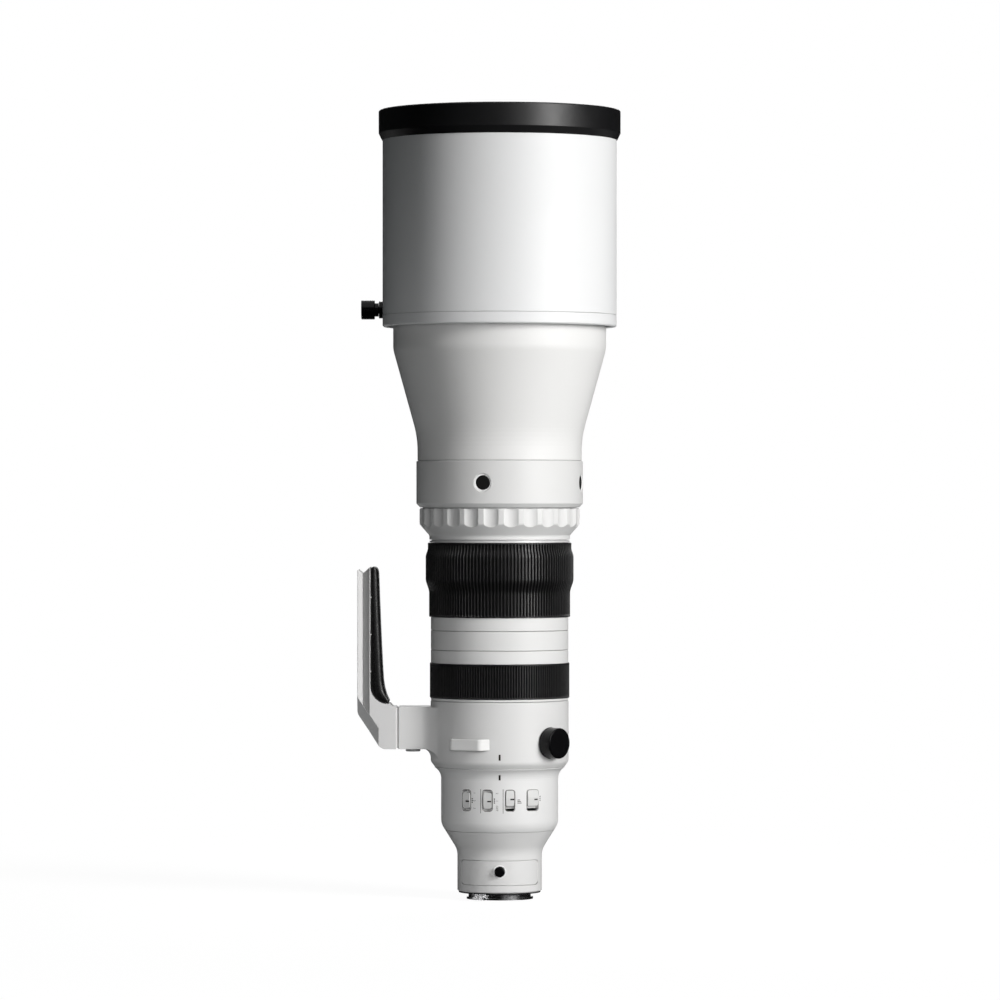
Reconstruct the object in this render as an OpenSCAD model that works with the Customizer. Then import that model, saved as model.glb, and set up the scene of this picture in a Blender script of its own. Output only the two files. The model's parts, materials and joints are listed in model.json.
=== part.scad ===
// Large telephoto zoom lens with a tripod collar, a drop-in filter and a lens hood.
// Millimetres. The origin is the centre of the camera mount's face, +Z runs to the front
// along the optical axis, and the switches face -Y. Angles round the axis start at -Y and
// turn towards +X. The tripod foot is on the -X side.

/* [Camera mount] */
// Width of the black seal round the flange plate
seal_w = 1.4; // [1.2:0.1:1.6]
// Height of the seal
seal_h = 1.1; // [0.8:0.1:1.5]
// Width of the flange plate's face round the spigot
plate_w = 6.2; // [5.8:0.1:6.6]
// Thickness of the flange plate
plate_t = 2; // [1.8:0.1:2.4]
// Radius of the bayonet spigot
spigot_r = 24.4; // [24:0.1:24.8]
// How far the spigot stands out below the face
spigot_h = 5; // [4.6:0.1:5.6]
// How far a bayonet lug stands out of the spigot
lug_out = 1.8; // [1.4:0.1:2.2]
// Thickness of a lug
lug_t = 1.7; // [1.4:0.1:2]
// Angle that one lug covers
lug_arc = 52; // [40:1:65]
// Angle of the first lug's start
lug_start = -50; // [-90:1:90]
// Wall of the bayonet spigot
spigot_wall = 1.8; // [1.5:0.1:2]
// Width of the picture opening in the rear baffle
gate_w = 34; // [30:0.5:35]
// Height of the picture opening
gate_h = 25; // [22:0.5:26]
// Distance of the mount screws from the flange plate's rim
screw_in = 3.1; // [2.8:0.1:3.4]
// Head radius of a mount screw
screw_head_r = 2; // [1.7:0.1:2.2]
// Shank radius of a mount screw
screw_shank_r = 1; // [0.8:0.1:1.2]
// Number of mount screws
mount_screw_count = 4; // [3:1:6]
// Number of contact pins
contact_count = 10; // [6:1:12]

/* [Rear barrel and filter drawer] */
// How far the rear barrel stands out past the seal
rear_out = 1.1; // [0.9:0.1:2]
// Length of its straight part
rear_len = 32.1; // [31.6:0.1:36]
// Wall of the rear barrel and switch housing
wall = 2.2; // [1.8:0.1:2.3]
// Half the angle that the filter drawer's panel covers
drawer_angle = 64; // [58:1:66]
// Height of the drawer's panel
drawer_h = 19.5; // [18:0.1:20.5]
// Distance from the mounting face to the panel
drawer_z = 7; // [6.6:0.1:7.4]
// Corner radius of the panel
drawer_corner = 2; // [1:0.1:3]
// Thickness of the filter frame
frame_t = 8; // [6:0.1:9]
// Room between the rear barrel's wall and the filter frame
frame_room = 4.9; // [4:0.1:5.6]
// Width of the filter frame round its glass
frame_wall = 5; // [4.2:0.1:6]
// Height of the drawer's lock knob above the middle of the panel
drawer_knob_up = 1.2; // [0:0.1:2]
// Radius of the drawer's lock knob
drawer_knob_r = 4; // [3.2:0.1:4.4]
// How far that knob stands out of the panel
drawer_knob_h = 3.5; // [2.5:0.1:4.5]

/* [Switch housing] */
// How far the shoulder stands out past the housing
shoulder_out = 5.1; // [4.6:0.1:5.6]
// Length of the cone between the rear barrel and the housing
cone_len = 20.6; // [19:0.1:24]
// Height of the seam above the start of that cone
seam_up = 15.5; // [12:0.1:17]
// Length of the housing from the cone to its shoulder
house_len = 40.2; // [39:0.1:46]
// Radius of the curve where the cone meets the housing
house_round = 12; // [4:0.5:14]
// Radius of the hollow curve where the rear barrel meets the cone
cone_round = 15; // [4:0.5:18]
// Height of the shoulder under the collar
shoulder_h = 4.3; // [3.8:0.1:5]
// How far the collar stands out past the shoulder
collar_step = 3.1; // [2.6:0.1:3.6]
// Angles of the four switches
switch_angles = [-34.1, -11.8, 10.3, 34.2];
// Width of a switch window
window_w = 7.4; // [6.8:0.1:8.2]
// Width of the last switch's window
wide_window_w = 10.8; // [10:0.1:12]
// Height of a window
window_h = 16.2; // [14.5:0.1:18]
// Corner radius of a window
window_corner = 2; // [1:0.1:3]
// Length of a switch slider
slider_len = 12.2; // [11:0.1:12.8]
// Distance of the windows' centres above the cone's end
window_up = 20.2; // [18:0.1:24]

/* [Main tube and rings] */
// Outer radius of the main tube that the rings run on
tube_r = 48.5; // [48:0.1:48.7]
// Wall of the main tube
tube_wall = 2.5; // [2.2:0.1:2.9]
// Running clearance between a ring and the tube
run_gap = 0.3; // [0.3:0.02:0.4]
// Clearance between fixed pieces that seat on each other
seat_gap = 0.05; // [0.04:0.01:0.08]
// Gap between the ends of neighbouring rings
ring_gap = 0.3; // [0.3:0.05:0.6]
// Thickness of the rings over the tube
band_t = 5.4; // [5.1:0.1:5.8]
// Length of the focus ring
focus_len = 39.4; // [37:0.1:44]
// White lip behind the focus rubber
focus_lip = 1.8; // [1.2:0.1:3]
// Length of the focus rubber
focus_rubber_len = 27.5; // [22:0.1:30]
// How far the focus rubber stands out of the bands
focus_rubber_out = 0.8; // [0.6:0.1:1.3]
// Number of ribs on the focus rubber
focus_ribs = 160; // [120:1:180]
// Length of the fixed band between the two rings
centre_len = 14.9; // [12:0.1:20]
// White band of the zoom ring
zoom_band = 10.3; // [8:0.1:14]
// Length of the zoom rubber
zoom_rubber_len = 58.1; // [55:0.1:64]
// How far the zoom rubber stands out of the bands
grip_out = 1.4; // [1.1:0.1:1.9]
// How far its bulge stands out further
bulge_out = 2.7; // [1.8:0.1:3.6]
// How far its front end stands out further
grip_end_out = 1; // [0.6:0.1:1.6]
// Length of the low part of the zoom rubber
grip_low_len = 21; // [16:0.1:24]
// Length of the bulge
grip_high_len = 21.9; // [18:0.1:24]
// Number of ribs on the zoom rubber
zoom_ribs = 128; // [96:1:140]
// Depth of a groove between ribs
groove_depth = 1; // [0.6:0.1:1.2]
// Plain rim at each end of a rubber
rubber_rim = 0.8; // [0.5:0.1:1.5]
// How far the thin trim ring stands out of the bands
trim_out = 1; // [0.6:0.1:1.1]
// Length of the trim ring
trim_len = 1.8; // [1.4:0.1:2.4]

/* [Zoom and focus mechanism] */
// Turn of the zoom ring from wide to long
zoom_turn = 70; // [50:1:80]
// Forward travel of the variator
variator_travel = 36; // [24:1:38]
// Forward travel of the compensator
compensator_travel = 12; // [8:0.5:14]
// Travel of the focus group each way
focus_travel = 14; // [8:0.5:14]
// Radius of a cam pin
pin_r = 1.5; // [1.2:0.1:1.6]
// Radius of a cam groove
cam_groove_r = 2.6; // [2.4:0.1:2.9]
// Wall of the cam sleeve
cam_wall = 1.8; // [1.4:0.1:1.9]
// Radius of a guide rod of the focus group
rod_r = 1.5; // [1.2:0.1:1.7]
// Sideways travel of the stabiliser each way
shift_travel = 1; // [0.5:0.1:1.2]
// Number of iris blades
blade_count = 9; // [7:1:11]

/* [Function ring and button band] */
// How far the function ring stands out past the trim ring
flute_ring_out = 7.9; // [7:0.1:8.5]
// Length of the function ring
func_len = 24.4; // [22:0.1:28]
// Length of the ring's full-radius part
flute_len = 12.4; // [10:0.1:14]
// Number of flutes
flute_count = 25; // [20:1:28]
// Depth of a flute
flute_depth = 1.9; // [1:0.1:2.2]
// Angle that a flute covers
flute_arc = 11.3; // [9:0.1:11.6]
// Angle of the first flute
flute_start = -6.1; // [-7:0.1:7]
// How far the button band stands out past the function ring
button_band_out = 2.5; // [2:0.1:3.2]
// Length of the button band
button_band_len = 36.9; // [32:0.1:42]
// Radius of a function button
button_r = 5.5; // [4.5:0.1:6.2]
// Radius of the chamfered recess round a button
button_recess_r = 7.2; // [6.9:0.1:8]
// Angle of the first button
button_start = -11.8; // [-20:0.1:20]
// Travel of a button
button_travel = 1; // [0.6:0.1:1.2]

/* [Front barrel and front group] */
// Dark seam between the button band and the front barrel
front_seam = 0.6; // [0.4:0.1:1.2]
// How far the front barrel's neck stands back from the button band
neck_in = 0.9; // [0.5:0.1:1.4]
// Length of the neck to the corner of the flare
neck_len = 17.8; // [14:0.1:22]
// Length of the flare
flare_len = 69; // [60:0.5:78]
// Radius of the hollow curve where the flare starts
flare_bend_r = 78.4; // [50:0.2:80]
// How far the flare widens
flare_out = 19.1; // [17:0.1:20]
// Length of the straight front part
wide_len = 42.6; // [41:0.1:48]
// Wall of the front barrel
front_wall = 3; // [2.6:0.1:3.4]
// Wall of the front cell round the front glass
front_cell_wall = 4.05; // [3.6:0.05:5]

/* [Hood] */
// How far the hood stands out past the front barrel
hood_out = 8.3; // [7.9:0.1:9.5]
// Wall of the hood
hood_wall = 2.2; // [1.8:0.1:2.3]
// How far the hood hangs down over the barrel's front end
hood_overlap = 24.9; // [24:0.1:28]
// Height of the hood's base ring
hood_base_h = 8.9; // [8:0.1:9.2]
// Whole length of the hood
hood_len = 169.7; // [120:0.5:190]
// Height of the rubber bumper
bumper_h = 23.5; // [18:0.5:30]
// How far the bumper stands out past the hood
bumper_out = 3.1; // [2.4:0.1:4.2]
// Distance from the hood's rear end to its lock knob
hood_knob_up = 13.5; // [12.6:0.1:15]
// Radius of the bush round the knob's neck
bush_r = 6.8; // [6:0.1:7.2]
// How far the bush stands out of the hood
bush_out = 2.8; // [2:0.1:3.6]
// Head radius of the hood's lock knob
hood_knob_r = 7.65; // [6.5:0.05:8.5]
// Length of that knob's head
hood_knob_len = 10.6; // [8:0.1:13]

/* [Tripod collar and foot] */
// How far the collar stands out past the rings
collar_out = 0.2; // [0.1:0.1:0.5]
// Length of the collar
collar_len = 51.6; // [50:0.1:56]
// Gap between the housing's shoulder and the collar
collar_gap = 0.4; // [0.3:0.1:0.8]
// Distance from the collar's rear end to the arm
arm_up = 14; // [12:0.1:16]
// Distance from the arm's top to the collar's front end
arm_down = 4.8; // [4:0.1:6]
// Width of the arm and foot
foot_w = 38; // [36:0.5:42]
// Distance from the collar to the seam between arm and foot
arm_len = 25.7; // [24:0.1:26.4]
// Distance from that seam to the foot's outer face
foot_out = 31.4; // [30:0.1:36]
// Length of the foot along the lens
foot_len = 140.1; // [130:0.5:155]
// Thickness of the foot's dovetail plate
dovetail_t = 10.2; // [9.6:0.1:11]
// Depth of the dovetail's V groove
dovetail_depth = 4.4; // [3.5:0.1:5]
// Radius of the fillet between the arm and the collar
arm_fillet = 16; // [10:0.5:18]
// Radius of the fillet under the arm
under_fillet = 7.5; // [5:0.5:9]
// Distance from the seam to the rear end of the foot's slanted face
slant_out = 12.9; // [10:0.1:15]
// Height of the slanted face
slant_h = 27.6; // [22:0.2:32]
// Radius of the foot's rear corner
foot_round = 7; // [3:0.5:9]
// Width of the chamfer along the slanted face
foot_chamfer = 7.6; // [5:0.1:8]
// Distance from the seam to the end of that chamfer
chamfer_end = 14.4; // [13:0.1:17]
// Width of the chamfer round the seam between arm and foot
seam_chamfer = 1.2; // [0.5:0.1:1.5]
// Width of the hand pad
pad_w = 34; // [28:0.5:36]
// Edge radius of the hand pad
pad_round = 1.5; // [1.5:0.1:2.6]
// Radius of the bend at the lower end of the hand pad
pad_bend = 13.5; // [10:0.5:14]
// Distance from the arm's rear edge to the large tripod thread
thread_large_up = 60; // [54:1:66]
// Distance from the arm's rear edge to the small tripod thread
thread_small_up = 98; // [88:1:108]
// Radius of the large tripod thread
thread_large_r = 3.97; // [3.9:0.01:4.05]
// Radius of the small tripod thread
thread_small_r = 2.55; // [2.5:0.01:2.65]
// Depth of the tripod threads
thread_depth = 8; // [7:0.1:8.4]
// Angle of the collar's lock knob
collar_knob_angle = 46.5; // [40:0.5:60]
// Height of the lock knob above the arm's rear edge
collar_knob_up = 5.7; // [4.5:0.1:8]
// Radius of the collar's lock knob
collar_knob_r = 11.9; // [10:0.1:12.5]
// Height of that knob
collar_knob_h = 11.5; // [8:0.1:12]
// Depth of the flat seat under that knob
knob_seat = 1.5; // [1.3:0.1:2]
// Distance from the seam to the stop button under the arm
stop_in = 11.9; // [11:0.1:13]
// Radius of the stop button
stop_button_r = 5.8; // [4.5:0.1:6.5]
// Travel of the stop button
stop_travel = 1.5; // [1:0.1:1.8]
// Angle of the strap loops
loop_angle = 27; // [24:1:32]
// Distance from the collar to the loops' outer face
loop_out = 5.9; // [5:0.1:7.5]
// Length of a loop's outer face
loop_len = 26.4; // [24:0.2:28]
// Radius of a loop's outer corners
loop_round = 4; // [1:0.5:4]
// Thickness of a loop's bar
loop_t = 2.3; // [1.8:0.1:2.6]
// Height of a loop
loop_h = 8.9; // [7:0.1:10]

/* [Hidden] */
$fn = 96;

// Small sizes that several pieces share
seam_w = 0.4;
seam_deep = 0.8;
bearing_gap = 0.06;
stem_r = 3;
pivot_r = 1.5;
lens_fn = 200;

// Radii of the camera mount and the rear barrel, one from the next
throat_r = spigot_r - spigot_wall;
lug_r = spigot_r + lug_out;
plate_r = spigot_r + plate_w;
seal_r = plate_r + seal_w;
screw_circle_r = plate_r - screw_in;
rear_r = seal_r + rear_out;

// Radii of the tube, the rings and the front, one from the next
tube_bore = tube_r - tube_wall;
band_r = tube_r + band_t;
collar_r = band_r + collar_out;
shoulder_r = collar_r - collar_step;
house_r = shoulder_r - shoulder_out;
focus_rubber_r = band_r + focus_rubber_out;
grip_low_r = band_r + grip_out;
grip_high_r = grip_low_r + bulge_out;
grip_end_r = grip_low_r + grip_end_out;
trim_r = band_r + trim_out;
flute_ring_r = trim_r + flute_ring_out;
button_band_r = flute_ring_r + button_band_out;
neck_r = button_band_r - neck_in;
front_r = neck_r + flare_out;
front_bore = front_r - front_wall;
front_glass_r = front_bore - seat_gap - front_cell_wall;
hood_r = front_r + hood_out;
bumper_r = hood_r + bumper_out;

// Heights of the sections, from the mounting face to the front
z_rear = seal_h;
z_cone = z_rear + rear_len;
z_house = z_cone + cone_len;
z_seam = z_cone + seam_up;
z_shoulder = z_house + house_len;
z_body = z_shoulder + shoulder_h;
z_collar = z_body + collar_gap;
z_focus = z_collar + collar_len + ring_gap;
z_centre = z_focus + focus_len + ring_gap;
z_zoom = z_centre + centre_len + ring_gap;
zoom_len = zoom_band + zoom_rubber_len;
z_trim = z_zoom + zoom_len + ring_gap;
z_func = z_trim + trim_len + ring_gap;
z_buttons = z_func + func_len + ring_gap;
z_front = z_buttons + button_band_len + front_seam;
z_flare = z_front + neck_len;
z_wide = z_flare + flare_len;
z_rim = z_wide + wide_len;
z_hood = z_rim - hood_overlap;
z_hood_top = z_hood + hood_len;

// Radii that follow from the tube
ring_bore = tube_r + run_gap;
fixed_bore = tube_r + seat_gap;
cell_r = tube_bore - run_gap;
fixed_r = tube_bore - seat_gap;
cam_bore = ring_bore;
cam_r = cam_bore + cam_wall;
pin_tip = cam_r - 0.2;
rubber_seat_r = band_r - 0.9;

// Rear barrel
barrel_in = rear_r - wall;
frame_r = barrel_in - frame_room;
filter_r = frame_r - frame_wall;
floor_top = 5;
shelf_r = barrel_in - 4.9;
shelf_t = 2.5;
z_shelf = z_rear + rear_len - 0.7;
drawer_mid = drawer_z + drawer_h / 2;
drawer_half = rear_r * sin(drawer_angle);
z_drawer_knob = drawer_mid + drawer_knob_up;
drawer_gap = 0.25;
house_in = house_r - wall;
cone_tilt = atan((house_r - rear_r) / cone_len);
cone_wall = wall / cos(cone_tilt);
z_board = z_house + 6.2;
board_t = 1.6;
z_window = z_house + window_up;
slider_gap = 0.45;
slider_low = 0.1;
slider_ridge = 0.7;
slider_travel = (window_h - slider_len) / 2 - 0.2;

// Cells in the main tube: heights of their rear faces and of their pins
z_shift = z_body + 5;
shift_glass_r = tube_bore - 12;
shift_cell_t = 10;
z_focus_cell = z_focus + 1;
motor_t = 5.5;
z_motor = z_focus_cell - focus_travel - 3.5 - motor_t;
focus_cell_t = 12;
z_iris = z_focus_cell + focus_cell_t + focus_travel + 7;
iris_t = 8;
iris_open_r = tube_bore - 13;
rod_circle = cell_r - 2.6;
z_comp = z_zoom - 8;
comp_t = 14;
z_comp_pin = z_zoom + 6;
vario_t = 20;
vario_pin_up = 4;
z_vario_pin = z_zoom + zoom_len - 6.4 - variator_travel;
z_vario = z_vario_pin - vario_pin_up;
second_glass_up = 10.5;

// Buttons
z_button = z_buttons + button_band_len / 2 + 1.3;
button_face_r = button_band_r - 0.8;

// Foot
arm_h = collar_len - arm_up - arm_down;
seam_x = collar_r + arm_len;
foot_x = seam_x + foot_out;
z_arm = z_collar + arm_up;
z_arm_top = z_arm + arm_h;
z_foot_top = z_arm + foot_len;
slant_x = seam_x + slant_out;
slant_tilt = atan((foot_x - slant_x) / slant_h);
pad_x = foot_x - dovetail_t;
pad_top = z_foot_top + 2.4;
pad_low = z_arm_top + 2.6;
bolt_head_r = 4.2;
bolt_shank_r = 2.5;
bolt_in = 2 * bolt_head_r + 1;
bolt_rows = [bolt_in, arm_h - bolt_in];
bolt_y = foot_w / 2 - foot_chamfer - bolt_head_r - 0.4;
bolt_cols = [-bolt_y, bolt_y];
seam_cube = seam_chamfer * sqrt(2);
stop_x = seam_x - stop_in;
loop_x = collar_r + loop_out;
z_collar_knob = z_arm + collar_knob_up;
z_thread_large = z_arm + thread_large_up;
z_thread_small = z_arm + thread_small_up;

// Hood
z_base_top = z_hood + hood_base_h;
z_hood_knob = z_hood + hood_knob_up;
z_lip = z_rim + run_gap;
hood_in = hood_r - hood_wall;
sleeve_in = front_r + run_gap;
bush_face = hood_r + bush_out;
bush_t = 4;

function unit(v) = v / norm(v);

// A closed outline with its corners rounded: each point is [x, y] or [x, y, radius]
function rounded(p, n = 6) = [
    for (i = [0:len(p) - 1])
        let (a = p[(i + len(p) - 1) % len(p)], b = p[i], c = p[(i + 1) % len(p)],
             r = len(b) > 2 ? b[2] : 0, q = [b.x, b.y],
             u = unit([a.x, a.y] - q), v = unit([c.x, c.y] - q), w = 180 - acos(u * v),
             reach = r * tan(w / 2), m = q + unit(u + v) * r / cos(w / 2),
             s = unit(q + u * reach - m), e = unit(q + v * reach - m))
        each (r <= 0 ? [q] : [for (k = [0:n]) let (t = k / n)
            m + r * (sin((1 - t) * w) * s + sin(t * w) * e) / sin(w)])
];

function round_rect(w, h, r) =
    rounded([[-w / 2, -h / 2, r], [w / 2, -h / 2, r], [w / 2, h / 2, r], [-w / 2, h / 2, r]]);

// Radius of the outer cone at a height
function cone_r(z) = rear_r + (house_r - rear_r) * (z - z_cone) / cone_len;

module ring(r_in, r_out, z0, z1) {
    rotate_extrude() translate([r_in, z0]) square([r_out - r_in, z1 - z0]);
}

module revolve(points) {
    rotate_extrude() polygon(rounded(points));
}

// Places children drawn along +Z so that they point away from the axis
module radial(angle, z) {
    rotate(angle) translate([0, 0, z]) rotate([90, 0, 0]) children();
}

// A lens element: a disc between two spherical faces, given by the rise of each
module element(r, z, edge, back_rise, front_rise) {
    back_ball = ball(r, back_rise);
    front_ball = ball(r, front_rise);
    low = z - max(back_rise, 0);
    high = z + edge + max(front_rise, 0);
    rotate_extrude() difference() {
        intersection() {
            translate([0, low]) square([r, high - low]);
            if (back_rise > 0) translate([0, low + back_ball]) circle(r = back_ball, $fn = lens_fn);
            if (front_rise > 0) translate([0, high - front_ball]) circle(r = front_ball, $fn = lens_fn);
        }
        if (back_rise < 0) translate([0, z - back_rise - back_ball]) circle(r = back_ball, $fn = lens_fn);
        if (front_rise < 0) translate([0, z + edge + front_rise + front_ball])
            circle(r = front_ball, $fn = lens_fn);
    }
}

// Radius of the sphere whose cap of radius r rises by a height
function ball(r, rise) = rise == 0 ? 0 : (r * r + rise * rise) / (2 * abs(rise));

// Camera mount

// One mount screw, or the hole for it when grown by the seat gap
module mount_screw_at(grow) {
    for (i = [0:mount_screw_count - 1]) rotate(45 + i * 360 / mount_screw_count)
        translate([screw_circle_r, 0, 0]) {
            cylinder(r1 = screw_head_r + grow, r2 = screw_shank_r + grow, h = 1.2, $fn = 32);
            cylinder(r = screw_shank_r + grow, h = floor_top + grow, $fn = 32);
        }
}

module bayonet_mount() {
    color("silver") difference() {
        union() {
            rotate_extrude() polygon([[throat_r, -spigot_h], [spigot_r, -spigot_h], [spigot_r, 0],
                [plate_r, 0], [plate_r, plate_t], [throat_r, plate_t]]);
            for (i = [0:2]) rotate(lug_start + 120 * i) rotate_extrude(angle = lug_arc)
                translate([throat_r + 0.5, -spigot_h]) square([lug_r - throat_r - 0.5, lug_t]);
        }
        mount_screw_at(seat_gap);
        // Hole that the camera's lock pin drops into
        rotate(10) translate([screw_circle_r, 0, -1]) cylinder(r = 1.5, h = plate_t + 2, $fn = 32);
    }
}

module mount_seal() {
    color([0.05, 0.05, 0.05]) ring(plate_r + seat_gap, seal_r, 0, seal_h);
}

module mount_screws() {
    color("silver") mount_screw_at(0);
}

module contact_block() {
    color([0.08, 0.08, 0.08]) rotate(130) rotate_extrude(angle = 76)
        translate([throat_r - 3, -spigot_h + 0.3]) square([3 - seat_gap, 1.9]);
}

module contact_pins() {
    color("gold") for (i = [0:contact_count - 1])
        rotate(168 + (i - (contact_count - 1) / 2) * 64 / (contact_count - 1))
            translate([throat_r - 1.6, 0, -spigot_h - 0.1]) cylinder(r = 0.55, h = 0.4 - seat_gap, $fn = 24);
}

module rear_baffle() {
    color([0.06, 0.06, 0.06]) difference() {
        ring_z = -spigot_h + 2.25;
        translate([0, 0, ring_z]) cylinder(r = throat_r - seat_gap, h = 1.5);
        translate([0, 0, ring_z - 1]) linear_extrude(3.5) polygon(round_rect(gate_w, gate_h, 3));
    }
}

// Rear barrel and drop-in filter drawer

// The drawer's opening, or its panel when shrunk by a gap
module drawer_outline(shrink) {
    rotate([90, 0, 0]) translate([0, drawer_mid, 0]) linear_extrude(rear_r + 2)
        polygon(round_rect(2 * (drawer_half - shrink), drawer_h - 2 * shrink, drawer_corner));
}

module rear_barrel() {
    inner_turn = z_cone + (cone_wall - wall) / tan(cone_tilt);
    color("white") {
        difference() {
            revolve([
                [plate_r + seat_gap, z_rear], [rear_r - 0.8, z_rear], [rear_r, z_rear + 0.8],
                [rear_r, z_cone, cone_round], [cone_r(z_seam), z_seam], [cone_r(z_seam) - cone_wall, z_seam],
                [barrel_in, inner_turn], [barrel_in, z_shelf], [shelf_r, z_shelf],
                [shelf_r, z_shelf - shelf_t], [barrel_in, z_shelf - shelf_t], [barrel_in, floor_top],
                [throat_r + 0.6, floor_top], [throat_r + 0.6, plate_t + seat_gap],
                [plate_r + seat_gap, plate_t + seat_gap]
            ]);
            mount_screw_at(seat_gap);
            difference() {
                drawer_outline(0);
                cylinder(r = barrel_in - 8, h = 2 * z_cone, center = true);
            }
        }
        // Rails that the filter frame slides in
        for (side = [-1, 1], level = [-1, 1]) intersection() {
            ring(frame_r - 2.5, barrel_in + 0.5, floor_top, z_shelf);
            translate([side * (frame_r + 2), 4, drawer_mid + level * (frame_t / 2 + run_gap + 1)])
                cube([8, 24, 2], center = true);
        }
    }
}

module filter_holder() {
    color("white") difference() {
        union() {
            intersection() {
                ring(barrel_in, rear_r, drawer_z, drawer_z + drawer_h);
                drawer_outline(drawer_gap);
            }
            translate([0, 0, drawer_mid - frame_t / 2]) difference() {
                union() {
                    cylinder(r = frame_r, h = frame_t);
                    intersection() {
                        translate([-frame_r + 5, -barrel_in - 1, 0])
                            cube([2 * frame_r - 10, barrel_in, frame_t]);
                        cylinder(r = barrel_in + 0.6, h = frame_t);
                    }
                }
                translate([0, 0, 1]) cylinder(r = filter_r + seat_gap, h = frame_t);
                translate([0, 0, -1]) cylinder(r = filter_r - 1.5, h = frame_t);
            }
        }
        // Recess round the lock knob, and its bearing
        radial(0, z_drawer_knob) {
            translate([0, 0, rear_r - 1]) cylinder(r = drawer_knob_r + 1.1, h = 5, $fn = 48);
            translate([0, 0, rear_r - 5]) cylinder(r = pivot_r + bearing_gap, h = 8, $fn = 32);
        }
    }
}

module filter_glass() {
    color([0.7, 0.8, 0.9, 0.4]) translate([0, 0, drawer_mid - frame_t / 2 + 1 + seat_gap])
        cylinder(r = filter_r, h = 2);
}

module filter_knob() {
    color([0.05, 0.05, 0.05]) radial(0, z_drawer_knob) union() {
        translate([0, 0, rear_r - 0.7]) cylinder(r = drawer_knob_r, h = drawer_knob_h, $fn = 48);
        translate([0, 0, rear_r + drawer_knob_h - 0.7])
            cylinder(r1 = drawer_knob_r, r2 = drawer_knob_r - 0.6, h = 0.6, $fn = 48);
        translate([0, 0, rear_r - 4.5]) cylinder(r = pivot_r, h = 5, $fn = 32);
    }
}

module rear_cell() {
    color([0.08, 0.08, 0.08]) revolve([
        [shelf_r - 6, z_shelf - 4], [shelf_r - run_gap, z_shelf - 4], [shelf_r - run_gap, z_shelf],
        [barrel_in - 0.2, z_shelf], [barrel_in - 0.2, z_shelf + 2.5], [shelf_r - run_gap, z_shelf + 2.5],
        [shelf_r - run_gap, z_shelf + 22], [shelf_r - 3.5, z_shelf + 22], [shelf_r - 3.5, z_shelf - 2],
        [shelf_r - 6, z_shelf - 2]
    ]);
}

module rear_glass() {
    color([0.6, 0.7, 0.8, 0.5]) {
        element(shelf_r - 3.6, z_shelf - 1.9, 3, -1.5, 2);
        element(shelf_r - 3.6, z_shelf + 8, 3, 1.6, 2);
    }
}

// Switch housing

module switch_window(i, depth_in) {
    w = i == 3 ? wide_window_w : window_w;
    radial(switch_angles[i], z_window) translate([0, 0, depth_in])
        linear_extrude(house_r - depth_in + 3) polygon(round_rect(w, window_h, window_corner));
}

module switch_housing() {
    z_turn = z_house - (cone_wall - wall) / tan(cone_tilt);
    color("white") difference() {
        revolve([
            [cone_r(z_seam) - seam_deep, z_seam], [cone_r(z_seam) - seam_deep, z_seam + seam_w],
            [cone_r(z_seam + seam_w), z_seam + seam_w],
            [house_r, z_house, house_round], [house_r, z_shoulder, 10],
            [shoulder_r, z_body - 0.3], [shoulder_r - 0.3, z_body], [house_in, z_body],
            [house_in, z_board], [house_in - 2.5, z_board], [house_in - 2.5, z_board - 1.5],
            [house_in, z_board - 1.5], [house_in, z_turn], [cone_r(z_seam) - cone_wall, z_seam]
        ]);
        for (i = [0:3]) switch_window(i, house_in - 4);
    }
}

module circuit_board() {
    color([0.1, 0.35, 0.2]) {
        ring(shelf_r + 2, house_in - seat_gap, z_board, z_board + board_t);
        for (i = [0:5]) rotate(60 * i + 15) translate([(shelf_r + house_in) / 2, 0, z_board + board_t])
            translate([-3, -4, -0.2]) cube([6, 8, 1.4]);
    }
}

// Switch slider: a thumb piece with a low ridge in the window, and a wider foot behind the wall
module slider(i, rest) {
    w = i == 3 ? wide_window_w : window_w;
    foot_face = house_in - 1;
    low = house_r - slider_low;
    high = house_r + slider_ridge;
    color("white") radial(switch_angles[i], z_window + rest) union() {
        intersection() {
            translate([0, 0, foot_face - 0.5]) linear_extrude(high - foot_face + 1)
                polygon(round_rect(w - 2 * slider_gap, slider_len, window_corner - slider_gap));
            rotate([90, 0, 90]) linear_extrude(w, center = true) polygon([
                [-slider_len / 2 - 1, foot_face - 1], [slider_len / 2 + 1, foot_face - 1],
                [slider_len / 2 + 1, low], [0.6, high], [-0.6, high], [-slider_len / 2 - 1, low]]);
        }
        translate([0, 0, foot_face - 1.5]) linear_extrude(1.5)
            polygon(round_rect(w + 2.4, slider_len + 4, 1));
    }
}

// Main tube and what is fixed on it

module pin_slot(angle, z_pin, travel) {
    w = 2 * (pin_r + run_gap);
    radial(angle, z_pin + travel / 2) translate([0, 0, tube_bore - 3]) union() {
        linear_extrude(6) square([w, travel], center = true);
        for (s = [-1, 1]) translate([0, s * travel / 2, 0]) cylinder(r = w / 2, h = 6, $fn = 32);
    }
}

module main_tube() {
    flange_t = 3.7;
    flange_r = neck_r - 2;
    color([0.3, 0.3, 0.3]) difference() {
        rotate_extrude() polygon([[tube_bore, z_body], [tube_r, z_body], [tube_r, z_front - flange_t],
            [flange_r, z_front - flange_t], [flange_r, z_front], [tube_bore, z_front]]);
        for (i = [0:2]) pin_slot(120 * i, z_vario_pin, variator_travel);
        for (i = [0:2]) pin_slot(60 + 120 * i, z_comp_pin, compensator_travel);
    }
}

module centre_band() {
    color("white") revolve([[fixed_bore, z_centre], [band_r - 0.3, z_centre], [band_r, z_centre + 0.3],
        [band_r, z_centre + centre_len - 0.3], [band_r - 0.3, z_centre + centre_len],
        [fixed_bore, z_centre + centre_len]]);
}

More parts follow.
